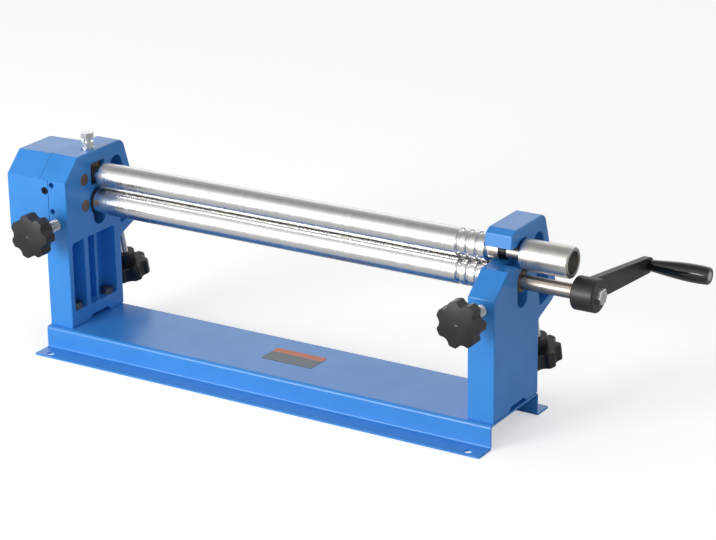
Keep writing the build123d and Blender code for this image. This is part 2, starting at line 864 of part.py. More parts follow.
with BuildPart() as rear_roll:
    rear_left = -(half_length - rear_roll_left_setback)
    rear_right = half_length - rear_roll_right_setback
    extrude(
        disc(across(rear_left, rear_roll_y, rear_roll_z), roll_diameter),
        amount=rear_right - rear_left,
    )
    chamfer(rear_roll.edges(), roll_edge)
    for end, inward in ((rear_left, 1), (rear_right, -1)):
        extrude(
            disc(across(end, rear_roll_y, rear_roll_z), rear_journal_diameter),
            amount=inward * rear_journal_in_roll,
            mode=Mode.SUBTRACT,
        )
rear_roll.part.label = "rear_roll"

# pins pressed into the roll's bored ends
with BuildPart() as rear_roll_pins:
    pin_end = half_length - face_gap - end_play
    for start, length in (
        (-pin_end, pin_end + rear_left + rear_journal_in_roll),
        (rear_right - rear_journal_in_roll, pin_end - rear_right + rear_journal_in_roll),
    ):
        extrude(
            disc(across(start, rear_roll_y, rear_roll_z), rear_journal_diameter), amount=length
        )
rear_roll_pins.part.label = "rear_roll_pins"

# ---------------------------------------------------------------- bearings of the rolls

with BuildPart() as lower_bushes:
    outer_start = half_length - end_play
    for start in (outer_start - bush_length, -outer_start):
        extrude(
            disc(across(start, roll_y, lower_roll_height), bush_diameter)
            - disc(across(start, roll_y, lower_roll_height), journal_diameter + 2 * running_fit),
            amount=bush_length,
        )
lower_bushes.part.label = "lower_bushes"

with BuildPart() as thrust_washers:
    left_start = lower_left_end - end_play - thrust_washer_thickness
    for start in (left_start, lower_right_end + end_play):
        extrude(
            disc(across(start, roll_y, lower_roll_height), thrust_washer_diameter)
            - disc(across(start, roll_y, lower_roll_height), journal_diameter + 2 * running_fit),
            amount=thrust_washer_thickness,
        )
thrust_washers.part.label = "thrust_washers"

with BuildPart() as upper_bearing_block:
    with BuildSketch(across(block_back)) as block_face:
        with Locations((roll_y, pocket_middle)):
            Rectangle(block_width, pocket_size - 2 * face_gap)
        with Locations((roll_y, upper_roll_height)):
            Circle(journal_diameter / 2 + running_fit, mode=Mode.SUBTRACT)
    extrude(block_face.sketch, amount=block_length)
    block_top = pocket_middle + pocket_size / 2 - face_gap
    with Locations(Plane.XY.offset(block_top)):
        with Locations((pivot_x, roll_y)):
            Hole(pivot_tip_diameter / 2 + running_fit, depth=pivot_tip_length + end_play)
upper_bearing_block.part.label = "upper_bearing_block"

with BuildPart() as pivot_bolt:
    tip_low = block_top - pivot_tip_length
    shank_low = block_top + end_play
    head_low = stand_top + pivot_head_top - pivot_head_height
    at_pivot = Plane(origin=(pivot_x, roll_y, 0))
    extrude(disc(at_pivot.offset(tip_low), pivot_tip_diameter), amount=shank_low - tip_low)
    extrude(disc(at_pivot.offset(shank_low), pivot_bolt_diameter), amount=head_low - shank_low)
    extrude(hexagon(at_pivot.offset(head_low), pivot_hex), amount=pivot_head_height)
    fillet(pivot_bolt.faces().sort_by(Axis.Z)[-1].edges(), bolt_head_edge)
pivot_bolt.part.label = "pivot_bolt"

with BuildPart() as pivot_lock_nut:
    nut_low = stand_top + pivot_washer_thickness
    extrude(hexagon(at_pivot.offset(nut_low), pivot_hex), amount=lock_nut_height)
    extrude(disc(at_pivot.offset(nut_low), pivot_bolt_diameter), amount=lock_nut_height, mode=Mode.SUBTRACT)
pivot_lock_nut.part.label = "pivot_lock_nut"

with BuildPart() as pivot_washer:
    extrude(disc(at_pivot.offset(stand_top), pivot_washer_diameter), amount=pivot_washer_thickness)
    extrude(
        disc(at_pivot.offset(stand_top), pivot_bolt_diameter),
        amount=pivot_washer_thickness,
        mode=Mode.SUBTRACT,
    )
pivot_washer.part.label = "pivot_washer"

with BuildPart() as block_retaining_ring:
    ring_start = block_back - end_play - block_ring_thickness
    extrude(
        disc(across(ring_start, roll_y, upper_roll_height), block_ring_diameter)
        - disc(across(ring_start, roll_y, upper_roll_height), journal_diameter),
        amount=block_ring_thickness,
    )
block_retaining_ring.part.label = "block_retaining_ring"

with BuildPart() as stop_ring:
    ring_start = upper_right_end + right_step_length
    extrude(
        disc(across(ring_start, roll_y, upper_roll_height), stop_ring_diameter)
        - disc(across(ring_start, roll_y, upper_roll_height), journal_diameter),
        amount=stop_ring_length,
    )
stop_ring.part.label = "stop_ring"

with BuildPart() as locking_sleeve:
    extrude(
        disc(across(sleeve_start, roll_y, upper_roll_height), sleeve_diameter),
        amount=sleeve_length,
    )
    fillet(locking_sleeve.edges(), sleeve_edge)
    extrude(
        disc(across(sleeve_start, roll_y, upper_roll_height), journal_diameter + 2 * running_fit),
        amount=sleeve_length,
        mode=Mode.SUBTRACT,
    )
    extrude(
        disc(across(sleeve_start + sleeve_length, roll_y, upper_roll_height), sleeve_mouth_diameter),
        amount=-sleeve_bore_depth,
        mode=Mode.SUBTRACT,
    )
locking_sleeve.part.label = "locking_sleeve"

# ---------------------------------------------------------------- gear train

lower_gear_phase = 0.0
lower_idler_phase = meshed_phase(
    roll_gear_teeth, lower_gear_place, lower_gear_phase, idler_teeth, lower_idler_place
)
upper_idler_phase = meshed_phase(
    idler_teeth, lower_idler_place, lower_idler_phase, idler_teeth, upper_idler_place
)
upper_gear_phase = meshed_phase(
    idler_teeth, upper_idler_place, upper_idler_phase, roll_gear_teeth, upper_gear_place
)


with BuildPart() as lower_roll_gear:
    teeth_face = gear_profile(
        across(gear_far, *lower_gear_place), roll_gear_teeth, lower_gear_phase, gear_seat_diameter
    )
    extrude(teeth_face, amount=gear_width)
    extrude(key_section(lower_gear_place, 0, key_top + running_fit), amount=gear_width, mode=Mode.SUBTRACT)
lower_roll_gear.part.label = "lower_roll_gear"

with BuildPart() as upper_roll_gear:
    teeth_face = gear_profile(
        across(gear_far, *upper_gear_place), roll_gear_teeth, upper_gear_phase, gear_seat_diameter
    )
    extrude(teeth_face, amount=gear_width)
    extrude(key_section(upper_gear_place, 0, key_top + running_fit), amount=gear_width, mode=Mode.SUBTRACT)
upper_roll_gear.part.label = "upper_roll_gear"

hub_room = -(half_length + face_gap) - gear_near
idler_bore = idler_pin_diameter + 2 * running_fit

with BuildPart() as lower_idler_gear:
    teeth_face = gear_profile(
        across(gear_far, *lower_idler_place), idler_teeth, lower_idler_phase, idler_bore
    )
    extrude(teeth_face, amount=gear_width)
    extrude(disc(across(gear_near, *lower_idler_place), idler_hub_diameter), amount=hub_room)
    extrude(disc(across(gear_near, *lower_idler_place), idler_bore), amount=hub_room, mode=Mode.SUBTRACT)
lower_idler_gear.part.label = "lower_idler_gear"

with BuildPart() as upper_idler_gear:
    teeth_face = gear_profile(
        across(gear_far, *upper_idler_place), idler_teeth, upper_idler_phase, idler_bore
    )
    extrude(teeth_face, amount=gear_width)
    extrude(disc(across(gear_near, *upper_idler_place), idler_hub_diameter), amount=hub_room)
    extrude(disc(across(gear_near, *upper_idler_place), idler_bore), amount=hub_room, mode=Mode.SUBTRACT)
upper_idler_gear.part.label = "upper_idler_gear"

with BuildPart() as idler_pins:
    for place in (lower_idler_place, upper_idler_place):
        extrude(
            disc(across(shaft_end, *place), idler_pin_diameter),
            amount=-inner_face - end_play - shaft_end,
        )
idler_pins.part.label = "idler_pins"

with BuildPart() as idler_rings:
    for place in (lower_idler_place, upper_idler_place):
        start = gear_far - end_play - ring_thickness
        extrude(
            disc(across(start, *place), idler_pin_diameter + 2 * ring_height)
            - disc(across(start, *place), idler_pin_diameter),
            amount=ring_thickness,
        )
idler_rings.part.label = "idler_rings"

with BuildPart() as upper_gear_ring:
    start = gear_far - ring_thickness
    extrude(
        disc(across(start, *upper_gear_place), gear_seat_diameter + 2 * ring_height)
        - disc(across(start, *upper_gear_place), gear_seat_diameter),
        amount=ring_thickness,
    )
upper_gear_ring.part.label = "upper_gear_ring"

with BuildPart() as lower_gear_ring:
    extrude(
        disc(across(start, *lower_gear_place), gear_seat_diameter + 2 * ring_height)
        - disc(across(start, *lower_gear_place), gear_seat_diameter),
        amount=ring_thickness,
    )
lower_gear_ring.part.label = "lower_gear_ring"


with BuildPart() as upper_gear_key:
    extrude(key_section(upper_gear_place, key_bottom, key_top), amount=gear_width)
upper_gear_key.part.label = "upper_gear_key"

with BuildPart() as lower_gear_key:
    extrude(key_section(lower_gear_place, key_bottom, key_top), amount=gear_width)
lower_gear_key.part.label = "lower_gear_key"

with BuildPart() as pin_grub_screws:
    grub_y = idler_y - idler_pin_diameter / 2
    for height in (lower_idler_height, upper_idler_height):
        grub_plane = facing_back(-(half_length - grub_inset), grub_y, height)
        extrude(disc(grub_plane, grub_diameter), amount=-grub_length)
        socket = facing_back(-(half_length - grub_inset), grub_y - grub_length, height)
        extrude(hexagon(socket, grub_socket), amount=grub_socket_depth, mode=Mode.SUBTRACT)
pin_grub_screws.part.label = "pin_grub_screws"

# ---------------------------------------------------------------- front adjusting screws


def taper_plug(x):
    """Plug with a conical nose that lies under a bush."""
    radius = front_screw_diameter / 2
    nose_end = plug_back + plug_length
    points = [
        (plug_back, 0),
        (plug_back, radius),
        (taper_start, radius),
        (nose_end, taper_end_radius),
        (nose_end, 0),
    ]
    with BuildPart() as plug:
        with BuildSketch(across(x, 0, front_screw_height)):
            with BuildLine():
                Polyline(*points, close=True)
            make_face()
        revolve(axis=Axis((x, 0, front_screw_height), (0, 1, 0)))
    return plug.part


def front_screw(x):
    """Smooth-ended adjusting screw between its knob and its plug."""
    knob_face = -stand_front - front_knob_reach
    start = knob_face + knob_thickness + knob_boss_length - knob_grip_on_screw
    with BuildPart() as screw:
        extrude(
            disc(facing_back(x, start, front_screw_height), front_screw_diameter),
            amount=plug_back - end_play - start,
        )
    return screw.part


def star_knob(plane, bore):
    """Star knob whose domed face is on the plane and whose boss follows the plane's normal."""
    radius = knob_diameter / 2
    dome_radius = (radius**2 + knob_dome**2) / (2 * knob_dome)
    full = knob_thickness + knob_boss_length
    with BuildPart() as knob:
        extrude(knob_profile(plane), amount=knob_thickness)
        fillet(knob.faces().filter_by(Plane(plane.origin, z_dir=plane.z_dir)).edges(), knob_edge)
        dome = Plane(plane.location * Location((0, 0, dome_radius)))
        with Locations(dome):
            Sphere(dome_radius, mode=Mode.INTERSECT)
        extrude(disc(plane.offset(knob_thickness), knob_boss_diameter), amount=knob_boss_length)
        bore_face = plane.offset(full)
        extrude(disc(bore_face, bore), amount=-knob_grip_on_screw, mode=Mode.SUBTRACT)
    return knob.part


with BuildPart() as left_taper_plug:
    add(taper_plug(-stand_middle))
left_taper_plug.part.label = "left_taper_plug"

with BuildPart() as right_taper_plug:
    add(taper_plug(stand_middle))
right_taper_plug.part.label = "right_taper_plug"

with BuildPart() as left_front_screw:
    add(front_screw(-stand_middle))
left_front_screw.part.label = "left_front_screw"

with BuildPart() as right_front_screw:
    add(front_screw(stand_middle))
right_front_screw.part.label = "right_front_screw"

front_knob_y = -stand_front - front_knob_reach

with BuildPart() as left_front_knob:
    add(star_knob(facing_back(-stand_middle, front_knob_y, front_screw_height), front_screw_diameter))
left_front_knob.part.label = "left_front_knob"

with BuildPart() as right_front_knob:
    add(star_knob(facing_back(stand_middle, front_knob_y, front_screw_height), front_screw_diameter))
right_front_knob.part.label = "right_front_knob"

# ---------------------------------------------------------------- rear roll carriage

with BuildPart() as rear_bearing_blocks:
    block_thickness = stand_thickness - 2 * face_gap
    half_block = rear_slot_width / 2 - running_fit
    for start in (-half_length + face_gap, inner_face + face_gap):
        with BuildSketch(along_the_rear_slot(start)) as rear_block:
            with Locations((0, rear_block_height / 2 - half_block)):
                Circle(half_block)
            with Locations((0, rear_block_height / 2 - half_block)):
                Rectangle(
                    2 * half_block,
                    rear_block_height - half_block,
                    align=(Align.CENTER, Align.MAX),
                )
            Circle(rear_journal_diameter / 2 + running_fit, mode=Mode.SUBTRACT)
        extrude(rear_block.sketch, amount=block_thickness)
    for side in (-1, 1):
        socket_plane = down_the_rear_screw(
            side * stand_middle, rear_block_height / 2 - rear_screw_seat - end_play
        )
        extrude(
            disc(socket_plane, rear_screw_diameter + 2 * running_fit),
            amount=rear_screw_seat + 2 * end_play,
            mode=Mode.SUBTRACT,
        )
rear_bearing_blocks.part.label = "rear_bearing_blocks"


def rear_screw(x):
    """Threaded rod between a rear block and its knob."""
    start = rear_block_height / 2 - rear_screw_seat
    end = rear_exit + rear_knob_reach - knob_thickness / 2 - knob_boss_length + knob_grip_on_screw
    with BuildPart() as screw:
        extrude(disc(down_the_rear_screw(x, start), rear_screw_diameter), amount=end - start)
    return screw.part


def rear_knob(x):
    """Star knob on a rear screw, with its boss upwards."""
    face = down_the_rear_screw(x, rear_exit + rear_knob_reach + knob_thickness / 2)
    upward = Plane(origin=face.origin, x_dir=face.x_dir, z_dir=-face.z_dir)
    return star_knob(upward, rear_screw_diameter)


with BuildPart() as left_rear_screw:
    add(rear_screw(-stand_middle))
left_rear_screw.part.label = "left_rear_screw"

with BuildPart() as right_rear_screw:
    add(rear_screw(stand_middle))
right_rear_screw.part.label = "right_rear_screw"

with BuildPart() as left_rear_knob:
    add(rear_knob(-stand_middle))
left_rear_knob.part.label = "left_rear_knob"

with BuildPart() as right_rear_knob:
    add(rear_knob(stand_middle))
right_rear_knob.part.label = "right_rear_knob"

# ---------------------------------------------------------------- crank

with BuildPart() as crank_arm:
    extrude(disc(across(hub_start, roll_y, lower_roll_height), hub_diameter), amount=hub_length)
    fillet(crank_arm.edges(), hub_edge)
    with BuildSketch(across(arm_start)) as arm_face:
        with Locations((roll_y, lower_roll_height)):
            Circle(arm_hub_width / 2)
        with Locations((grip_y, grip_z)):
            Circle(arm_end_width / 2)
        make_hull()
    extrude(arm_face.sketch, amount=arm_thickness)
    shaft_bore = disc(across(hub_start, roll_y, lower_roll_height), journal_diameter)
    extrude(shaft_bore, amount=hub_length - hub_end_wall, mode=Mode.SUBTRACT)
    bolt_bore = disc(across(hub_end, roll_y, lower_roll_height), crank_bolt_diameter)
    extrude(bolt_bore, amount=-hub_length, mode=Mode.SUBTRACT)
    spindle_bore = disc(across(arm_start, grip_y, grip_z), spindle_diameter)
    extrude(spindle_bore, amount=arm_thickness, mode=Mode.SUBTRACT)
crank_arm.part.label = "crank_arm"

with BuildPart() as crank_bolt:
    head_plane = across(hub_end, roll_y, lower_roll_height)
    extrude(hexagon(head_plane, crank_bolt_hex), amount=crank_bolt_head)
    fillet(crank_bolt.faces().sort_by(Axis.X)[-1].edges(), bolt_head_edge)
    extrude(disc(head_plane, crank_bolt_diameter), amount=-(crank_bolt_length + hub_end_wall))
    dimple = across(hub_end + crank_bolt_head, roll_y, lower_roll_height)
    extrude(
        disc(dimple, crank_bolt_dimple_diameter),
        amount=-crank_bolt_dimple_depth,
        mode=Mode.SUBTRACT,
    )
crank_bolt.part.label = "crank_bolt"

with BuildPart() as grip:
    small = grip_small_diameter / 2
    large = grip_large_diameter / 2
    with BuildSketch(Plane(origin=(grip_start, grip_y, grip_z), x_dir=(1, 0, 0), z_dir=(0, -1, 0))):
        with BuildLine():
            swell = Spline(
                (grip_end_round, small),
                (grip_waist_place * grip_length, small + grip_waist_swell * (large - small)),
                (grip_widest_place * grip_length, large),
                (grip_length - grip_end_round, large - grip_end_round / 4),
            )
            Line((0, 0), (0, small - grip_end_round / 2))
            Line((0, small - grip_end_round / 2), swell @ 0)
            Line(swell @ 1, (grip_length, large - grip_end_round))
            Line((grip_length, large - grip_end_round), (grip_length, 0))
            Line((grip_length, 0), (0, 0))
        make_face()
    revolve(axis=Axis((grip_start, grip_y, grip_z), (1, 0, 0)))
    extrude(
        disc(across(grip_start, grip_y, grip_z), spindle_diameter + 2 * running_fit),
        amount=grip_length,
        mode=Mode.SUBTRACT,
    )
    extrude(
        disc(across(grip_end, grip_y, grip_z), spindle_head_diameter + 2 * end_play),
        amount=-(spindle_head_height + end_play),
        mode=Mode.SUBTRACT,
    )
grip.part.label = "grip"

with BuildPart() as grip_spindle:
    extrude(
        disc(across(arm_start, grip_y, grip_z), spindle_diameter),
        amount=grip_end - spindle_head_height - arm_start,
    )
    extrude(
        disc(across(grip_end, grip_y, grip_z), spindle_head_diameter),
        amount=-spindle_head_height,
    )
grip_spindle.part.label = "grip_spindle"

# ---------------------------------------------------------------- bolts through the feet

foot_bolt_points = [
    (side * (half_length - foot_bolt_inset), y) for side in (-1, 1) for y in foot_bolt_places
]

with BuildPart() as foot_bolts:
    head_low = foot_top + foot_washer_thickness
    for x, y in foot_bolt_points:
        seat_plane = Plane(origin=(x, y, head_low))
        extrude(hexagon(seat_plane, foot_bolt_hex), amount=foot_bolt_head)
        extrude(
            disc(seat_plane, foot_bolt_diameter),
            amount=-(head_low - base_height + sheet + foot_bolt_below),
        )
foot_bolts.part.label = "foot_bolts"

with BuildPart() as foot_washers:
    for x, y in foot_bolt_points:
        extrude(
            disc(Plane(origin=(x, y, foot_top)), foot_washer_diameter)
            - disc(Plane(origin=(x, y, foot_top)), foot_bolt_diameter + 2 * running_fit),
            amount=foot_washer_thickness,
        )
foot_washers.part.label = "foot_washers"

with BuildPart() as foot_nuts:
    for x, y in foot_bolt_points:
        nut_plane = Plane(origin=(x, y, base_height - sheet))
        extrude(
            hexagon(nut_plane, foot_bolt_hex) - disc(nut_plane, foot_bolt_diameter),
            amount=-foot_nut_height,
        )
foot_nuts.part.label = "foot_nuts"

# ---------------------------------------------------------------- files

os.makedirs("parts", exist_ok=True)
finished = [
    base_plate,
    left_stand,
    right_stand,
    gear_cover,
    cover_screws,
    upper_roll,
    lower_roll,
    rear_roll,
    rear_roll_pins,
    lower_bushes,
    thrust_washers,
    upper_bearing_block,
    pivot_bolt,
    pivot_lock_nut,
    pivot_washer,
    block_retaining_ring,
    stop_ring,
    locking_sleeve,
    lower_roll_gear,
    upper_roll_gear,
    lower_idler_gear,
    upper_idler_gear,
    idler_pins,
    idler_rings,
    upper_gear_ring,
    lower_gear_ring,
    upper_gear_key,
    lower_gear_key,
    pin_grub_screws,
    left_taper_plug,
    right_taper_plug,
    left_front_screw,
    right_front_screw,
    left_front_knob,
    right_front_knob,
    rear_bearing_blocks,
    left_rear_screw,
    right_rear_screw,
    left_rear_knob,
    right_rear_knob,
    crank_arm,
    crank_bolt,
    grip,
    grip_spindle,
    foot_bolts,
    foot_washers,
    foot_nuts,
]
for piece in finished:
    export_step(piece.part, f"parts/{piece.part.label}.step")
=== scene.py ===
"""Studio scene of a hand-cranked slip roll machine that stands on a bench."""

import logging
import math
from dataclasses import dataclass, field
from enum import Enum

import bmesh
import bpy
from mathutils import Matrix, Vector


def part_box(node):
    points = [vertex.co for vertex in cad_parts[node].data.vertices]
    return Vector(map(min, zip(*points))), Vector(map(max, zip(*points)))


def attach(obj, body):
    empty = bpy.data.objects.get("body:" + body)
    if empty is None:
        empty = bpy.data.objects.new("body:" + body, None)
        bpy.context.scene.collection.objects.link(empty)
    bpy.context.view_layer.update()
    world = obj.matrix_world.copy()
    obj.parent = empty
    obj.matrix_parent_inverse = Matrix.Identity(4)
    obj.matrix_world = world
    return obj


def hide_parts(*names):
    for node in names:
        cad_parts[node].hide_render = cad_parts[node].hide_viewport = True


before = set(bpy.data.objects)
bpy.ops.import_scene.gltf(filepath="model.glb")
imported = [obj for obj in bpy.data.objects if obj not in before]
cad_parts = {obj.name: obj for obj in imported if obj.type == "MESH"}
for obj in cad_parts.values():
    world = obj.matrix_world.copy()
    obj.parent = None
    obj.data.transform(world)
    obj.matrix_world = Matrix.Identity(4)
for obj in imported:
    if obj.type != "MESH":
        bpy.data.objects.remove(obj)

Tree = bpy.types.NodeTree
Node = bpy.types.Node
Socket = bpy.types.NodeSocket
Triple = tuple[float, float, float]

MM = 0.001
WHITE = (1.0, 1.0, 1.0, 1.0)
BEVEL_SAMPLES = 6
LOG = logging.getLogger("slip_roll")
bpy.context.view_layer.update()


class Side(Enum):
    """Stand that a piece belongs to; the crank is at the right one."""

    LEFT = "left"
    RIGHT = "right"


class Axis(Enum):
    """Direction that a turned or threaded piece runs in."""

    ALONG_ROLLS = (1.0, 0.0, 0.0)
    TO_REAR = (0.0, 1.0, 0.0)
    UP = (0.0, 0.0, 1.0)


class Surface(Enum):
    """Kinds of surface on the machine; each value is the name of its material."""

    CAST_ENAMEL = "blue_enamel_on_cast_iron"
    SHEET_ENAMEL = "blue_enamel_on_sheet_steel"
    GROUND_STEEL = "ground_bright_steel"
    TURNED_STEEL = "turned_steel_sleeve"
    BRIGHT_ZINC = "bright_zinc_plate"
    DULL_ZINC = "dull_zinc_plate"
    SATIN_PHENOLIC = "satin_black_phenolic"
    GLOSS_PLASTIC = "gloss_black_plastic"
    BRONZE = "sintered_bronze"
    CAST_BLACK = "black_painted_cast_iron"
    BLACK_OXIDE = "black_oxide_steel"
    OILED_STEEL = "oiled_pin_steel"
    PRINTED_PLATE = "printed_plate"


# ------------------------------------------------------------------ node and colour helpers


def linear(hex_colour: str) -> tuple[float, float, float, float]:
    """Turn an sRGB hex colour to Blender's linear colour.

    Args:
        hex_colour: Colour such as "3f8fe0".

    Returns:
        Linear red, green, blue and an alpha of 1.
    """
    parts = [int(hex_colour[i : i + 2], 16) / 255 for i in (0, 2, 4)]
    red, green, blue = (p / 12.92 if p <= 0.04045 else ((p + 0.055) / 1.055) ** 2.4 for p in parts)
    return (red, green, blue, 1.0)


def add_node(
    tree: Tree,
    kind: str,
    settings: dict[str | int, object] | None = None,
    links: dict[str | int, Socket] | None = None,
) -> Node:
    """Add one shader node.

    Args:
        tree: Node tree of the material or world.
        kind: Blender's name of the node's type.
        settings: Values by property name, or by the name or number of an input.
        links: Output sockets to join, by the name or number of the input that takes each.

    Returns:
        The new node.
    """
    node = tree.nodes.new(kind)
    for name, value in (settings or {}).items():
        if isinstance(name, str) and hasattr(node, name):
            setattr(node, name, value)
        else:
            node.inputs[name].default_value = value
    for name, output in (links or {}).items():
        tree.links.new(output, node.inputs[name])
    return node


# ------------------------------------------------------------------ finishes


@dataclass(frozen=True)
class Finish:
    """A surface finish with one principled shader and a pattern on it.

    Sizes are in millimetres, and edge_mm is the radius that sharp edges are softened to.
    """

    surface: Surface
    colour: str
    metallic: float = 0.0
    roughness: float = 0.4
    coat: float = 0.0
    coat_roughness: float = 0.1
    specular: float = 0.5
    edge_mm: float = 0.0

    def material(self) -> bpy.types.Material:
        """Build the material.

        Returns:
            The material, with its pattern and relief.
        """
        made = bpy.data.materials.new(self.surface.value)
        made.use_nodes = True
        tree = made.node_tree
        tree.nodes.clear()
        shader = add_node(
            tree,
            "ShaderNodeBsdfPrincipled",
            {
                "Base Color": linear(self.colour),
                "Metallic": self.metallic,
                "Roughness": self.roughness,
                "Coat Weight": self.coat,
                "Coat Roughness": self.coat_roughness,
                "Specular IOR Level": self.specular,
            },
        )
        add_node(tree, "ShaderNodeOutputMaterial", {}, {"Surface": shader.outputs["BSDF"]})
        place = add_node(tree, "ShaderNodeTexCoord").outputs["Object"]
        self.dress(tree, shader, place)
        return made

    def dress(self, tree: Tree, shader: Node, place: Socket) -> None:
        """Add the finish's own pattern; each finish has its own.

        Args:
            tree: The material's nodes.
            shader: Its principled shader.
            place: Place on the piece, in the machine's own coordinates.
        """

    def relief(self, tree: Tree, shader: Node, height: Socket, depth_mm: float) -> None:
        """Give the surface a relief and softened edges.

        Args:
            tree: The material's nodes.
            shader: Its principled shader.
            height: Height pattern from 0 to 1.
            depth_mm: Height of the pattern at 1.
        """
        links = {"Height": height}
        if self.edge_mm:
            soft = add_node(
                tree,
                "ShaderNodeBevel",
                {"samples": BEVEL_SAMPLES, "Radius": self.edge_mm * MM},
            )
            links["Normal"] = soft.outputs["Normal"]
        bump = add_node(tree, "ShaderNodeBump", {"Strength": 1.0, "Distance": depth_mm * MM}, links)
        tree.links.new(bump.outputs["Normal"], shader.inputs["Normal"])


@dataclass(frozen=True)
class EnamelOnIron(Finish):
    """Sprayed machine enamel: a glossy film that keeps a little of the casting's waviness.

    Real orange peel is finer than this; it is drawn coarser, so that it shows.
    """

    shade: str = "2f7fd2"
    cloud_mm: float = 55.0
    cloud_range: tuple[float, float] = (0.3, 0.7)
    peel_mm: float = 2.6
    peel_depth_mm: float = 0.016
    wave_mm: float = 22.0
    wave_depth_mm: float = 0.11
    glossier: float = 0.05
    duller: float = 0.07
    edge_mm: float = 0.8

    def dress(self, tree: Tree, shader: Node, place: Socket) -> None:
        """Mottle the colour a little and add orange peel over the casting's waves.

        Args:
            tree: The material's nodes.
            shader: Its principled shader.
            place: Place on the piece, in the machine's own coordinates.
        """
        cloud = add_node(
            tree,
            "ShaderNodeTexNoise",
            {"Scale": 1 / (self.cloud_mm * MM), "Detail": 3.0, "Roughness": 0.55},
            {"Vector": place},
        )
        share = add_node(
            tree,
            "ShaderNodeMapRange",
            {"From Min": self.cloud_range[0], "From Max": self.cloud_range[1]},
            {"Value": cloud.outputs["Fac"]},
        )
        paint = add_node(
            tree,
            "ShaderNodeMix",
            {"data_type": "RGBA", 6: linear(self.colour), 7: linear(self.shade)},
            {0: share.outputs["Result"]},
        )
        tree.links.new(paint.outputs[2], shader.inputs["Base Color"])
        peel = add_node(
            tree,
            "ShaderNodeTexNoise",
            {"Scale": 1 / (self.peel_mm * MM), "Detail": 2.0},
            {"Vector": place},
        )
        wave = add_node(
            tree,
            "ShaderNodeTexNoise",
            {"Scale": 1 / (self.wave_mm * MM), "Detail": 1.0},
            {"Vector": place},
        )
        ratio = self.peel_depth_mm / self.wave_depth_mm
        height = add_node(
            tree,
            "ShaderNodeMath",
            {"operation": "MULTIPLY_ADD", 1: ratio},
            {0: peel.outputs["Fac"], 2: wave.outputs["Fac"]},
        )
        sheen = add_node(
            tree,
            "ShaderNodeMapRange",
            {"To Min": self.roughness - self.glossier, "To Max": self.roughness + self.duller},
            {"Value": cloud.outputs["Fac"]},
        )
        tree.links.new(sheen.outputs["Result"], shader.inputs["Roughness"])
        self.relief(tree, shader, height.outputs["Value"], self.wave_depth_mm)


@dataclass(frozen=True)
class GroundSteel(Finish):
    """Bright steel turned and ground round its axis: fine rings that spread the gleam.

    Real grinding rings are finer than this; they are drawn coarser, so that they show.
    Beyond shaft_from_mm from the middle, where that is set, the piece is a duller shaft.
    """

    axis: Axis = Axis.ALONG_ROLLS
    ring_mm: float = 1.1
    ring_depth_mm: float = 0.001
    patch_mm: float = 14.0
    dull_range: tuple[float, float] = (0.1, 0.4)
    rough_spread: float = 0.12
    shaft_from_mm: float = 0.0
    shaft_colour: str = "a89f95"
    shaft_roughness: float = 0.12
    edge_mm: float = 0.3

    def dress(self, tree: Tree, shader: Node, place: Socket) -> None:
        """Add turning rings across the axis, and slow changes of gloss along it.

        Args:
            tree: The material's nodes.
            shader: Its principled shader.
            place: Place on the piece, in the machine's own coordinates.
        """
        along = add_node(
            tree,
            "ShaderNodeVectorMath",
            {"operation": "DOT_PRODUCT", 1: self.axis.value},
            {0: place},
        ).outputs["Value"]
        fine = add_node(
            tree,
            "ShaderNodeTexNoise",
            {"noise_dimensions": "1D", "Scale": 1 / (self.ring_mm * MM), "Detail": 3.0},
            {"W": along},
        )
        broad = add_node(
            tree,
            "ShaderNodeTexNoise",
            {"noise_dimensions": "1D", "Scale": 1 / (self.patch_mm * MM), "Detail": 2.0},
            {"W": along},
        )
        both = add_node(
            tree,
            "ShaderNodeMath",
            {"operation": "MULTIPLY"},
            {0: fine.outputs["Fac"], 1: broad.outputs["Fac"]},
        )
        rough = add_node(
            tree,
            "ShaderNodeMapRange",
            {
                "From Min": self.dull_range[0],
                "From Max": self.dull_range[1],
                "To Min": self.roughness,
                "To Max": self.roughness + self.rough_spread,
            },
            {"Value": both.outputs["Value"]},
        )
        gloss = rough.outputs["Result"]
        if self.shaft_from_mm:
            # the turned shaft beyond the ground roll is duller and browned with oil
            from_middle = add_node(tree, "ShaderNodeMath", {"operation": "ABSOLUTE"}, {0: along})
            beyond = add_node(
                tree,
                "ShaderNodeMath",
                {"operation": "GREATER_THAN", 1: self.shaft_from_mm * MM},
                {0: from_middle.outputs[0]},
            ).outputs[0]
            gloss = add_node(
                tree,
                "ShaderNodeMath",
                {"operation": "MULTIPLY_ADD", 1: self.shaft_roughness},
                {0: beyond, 2: gloss},
            ).outputs[0]
            metal = add_node(
                tree,
                "ShaderNodeMix",
                {"data_type": "RGBA", 6: linear(self.colour), 7: linear(self.shaft_colour)},
                {0: beyond},
            )
            tree.links.new(metal.outputs[2], shader.inputs["Base Color"])
        tree.links.new(gloss, shader.inputs["Roughness"])
        self.relief(tree, shader, fine.outputs["Fac"], self.ring_depth_mm)


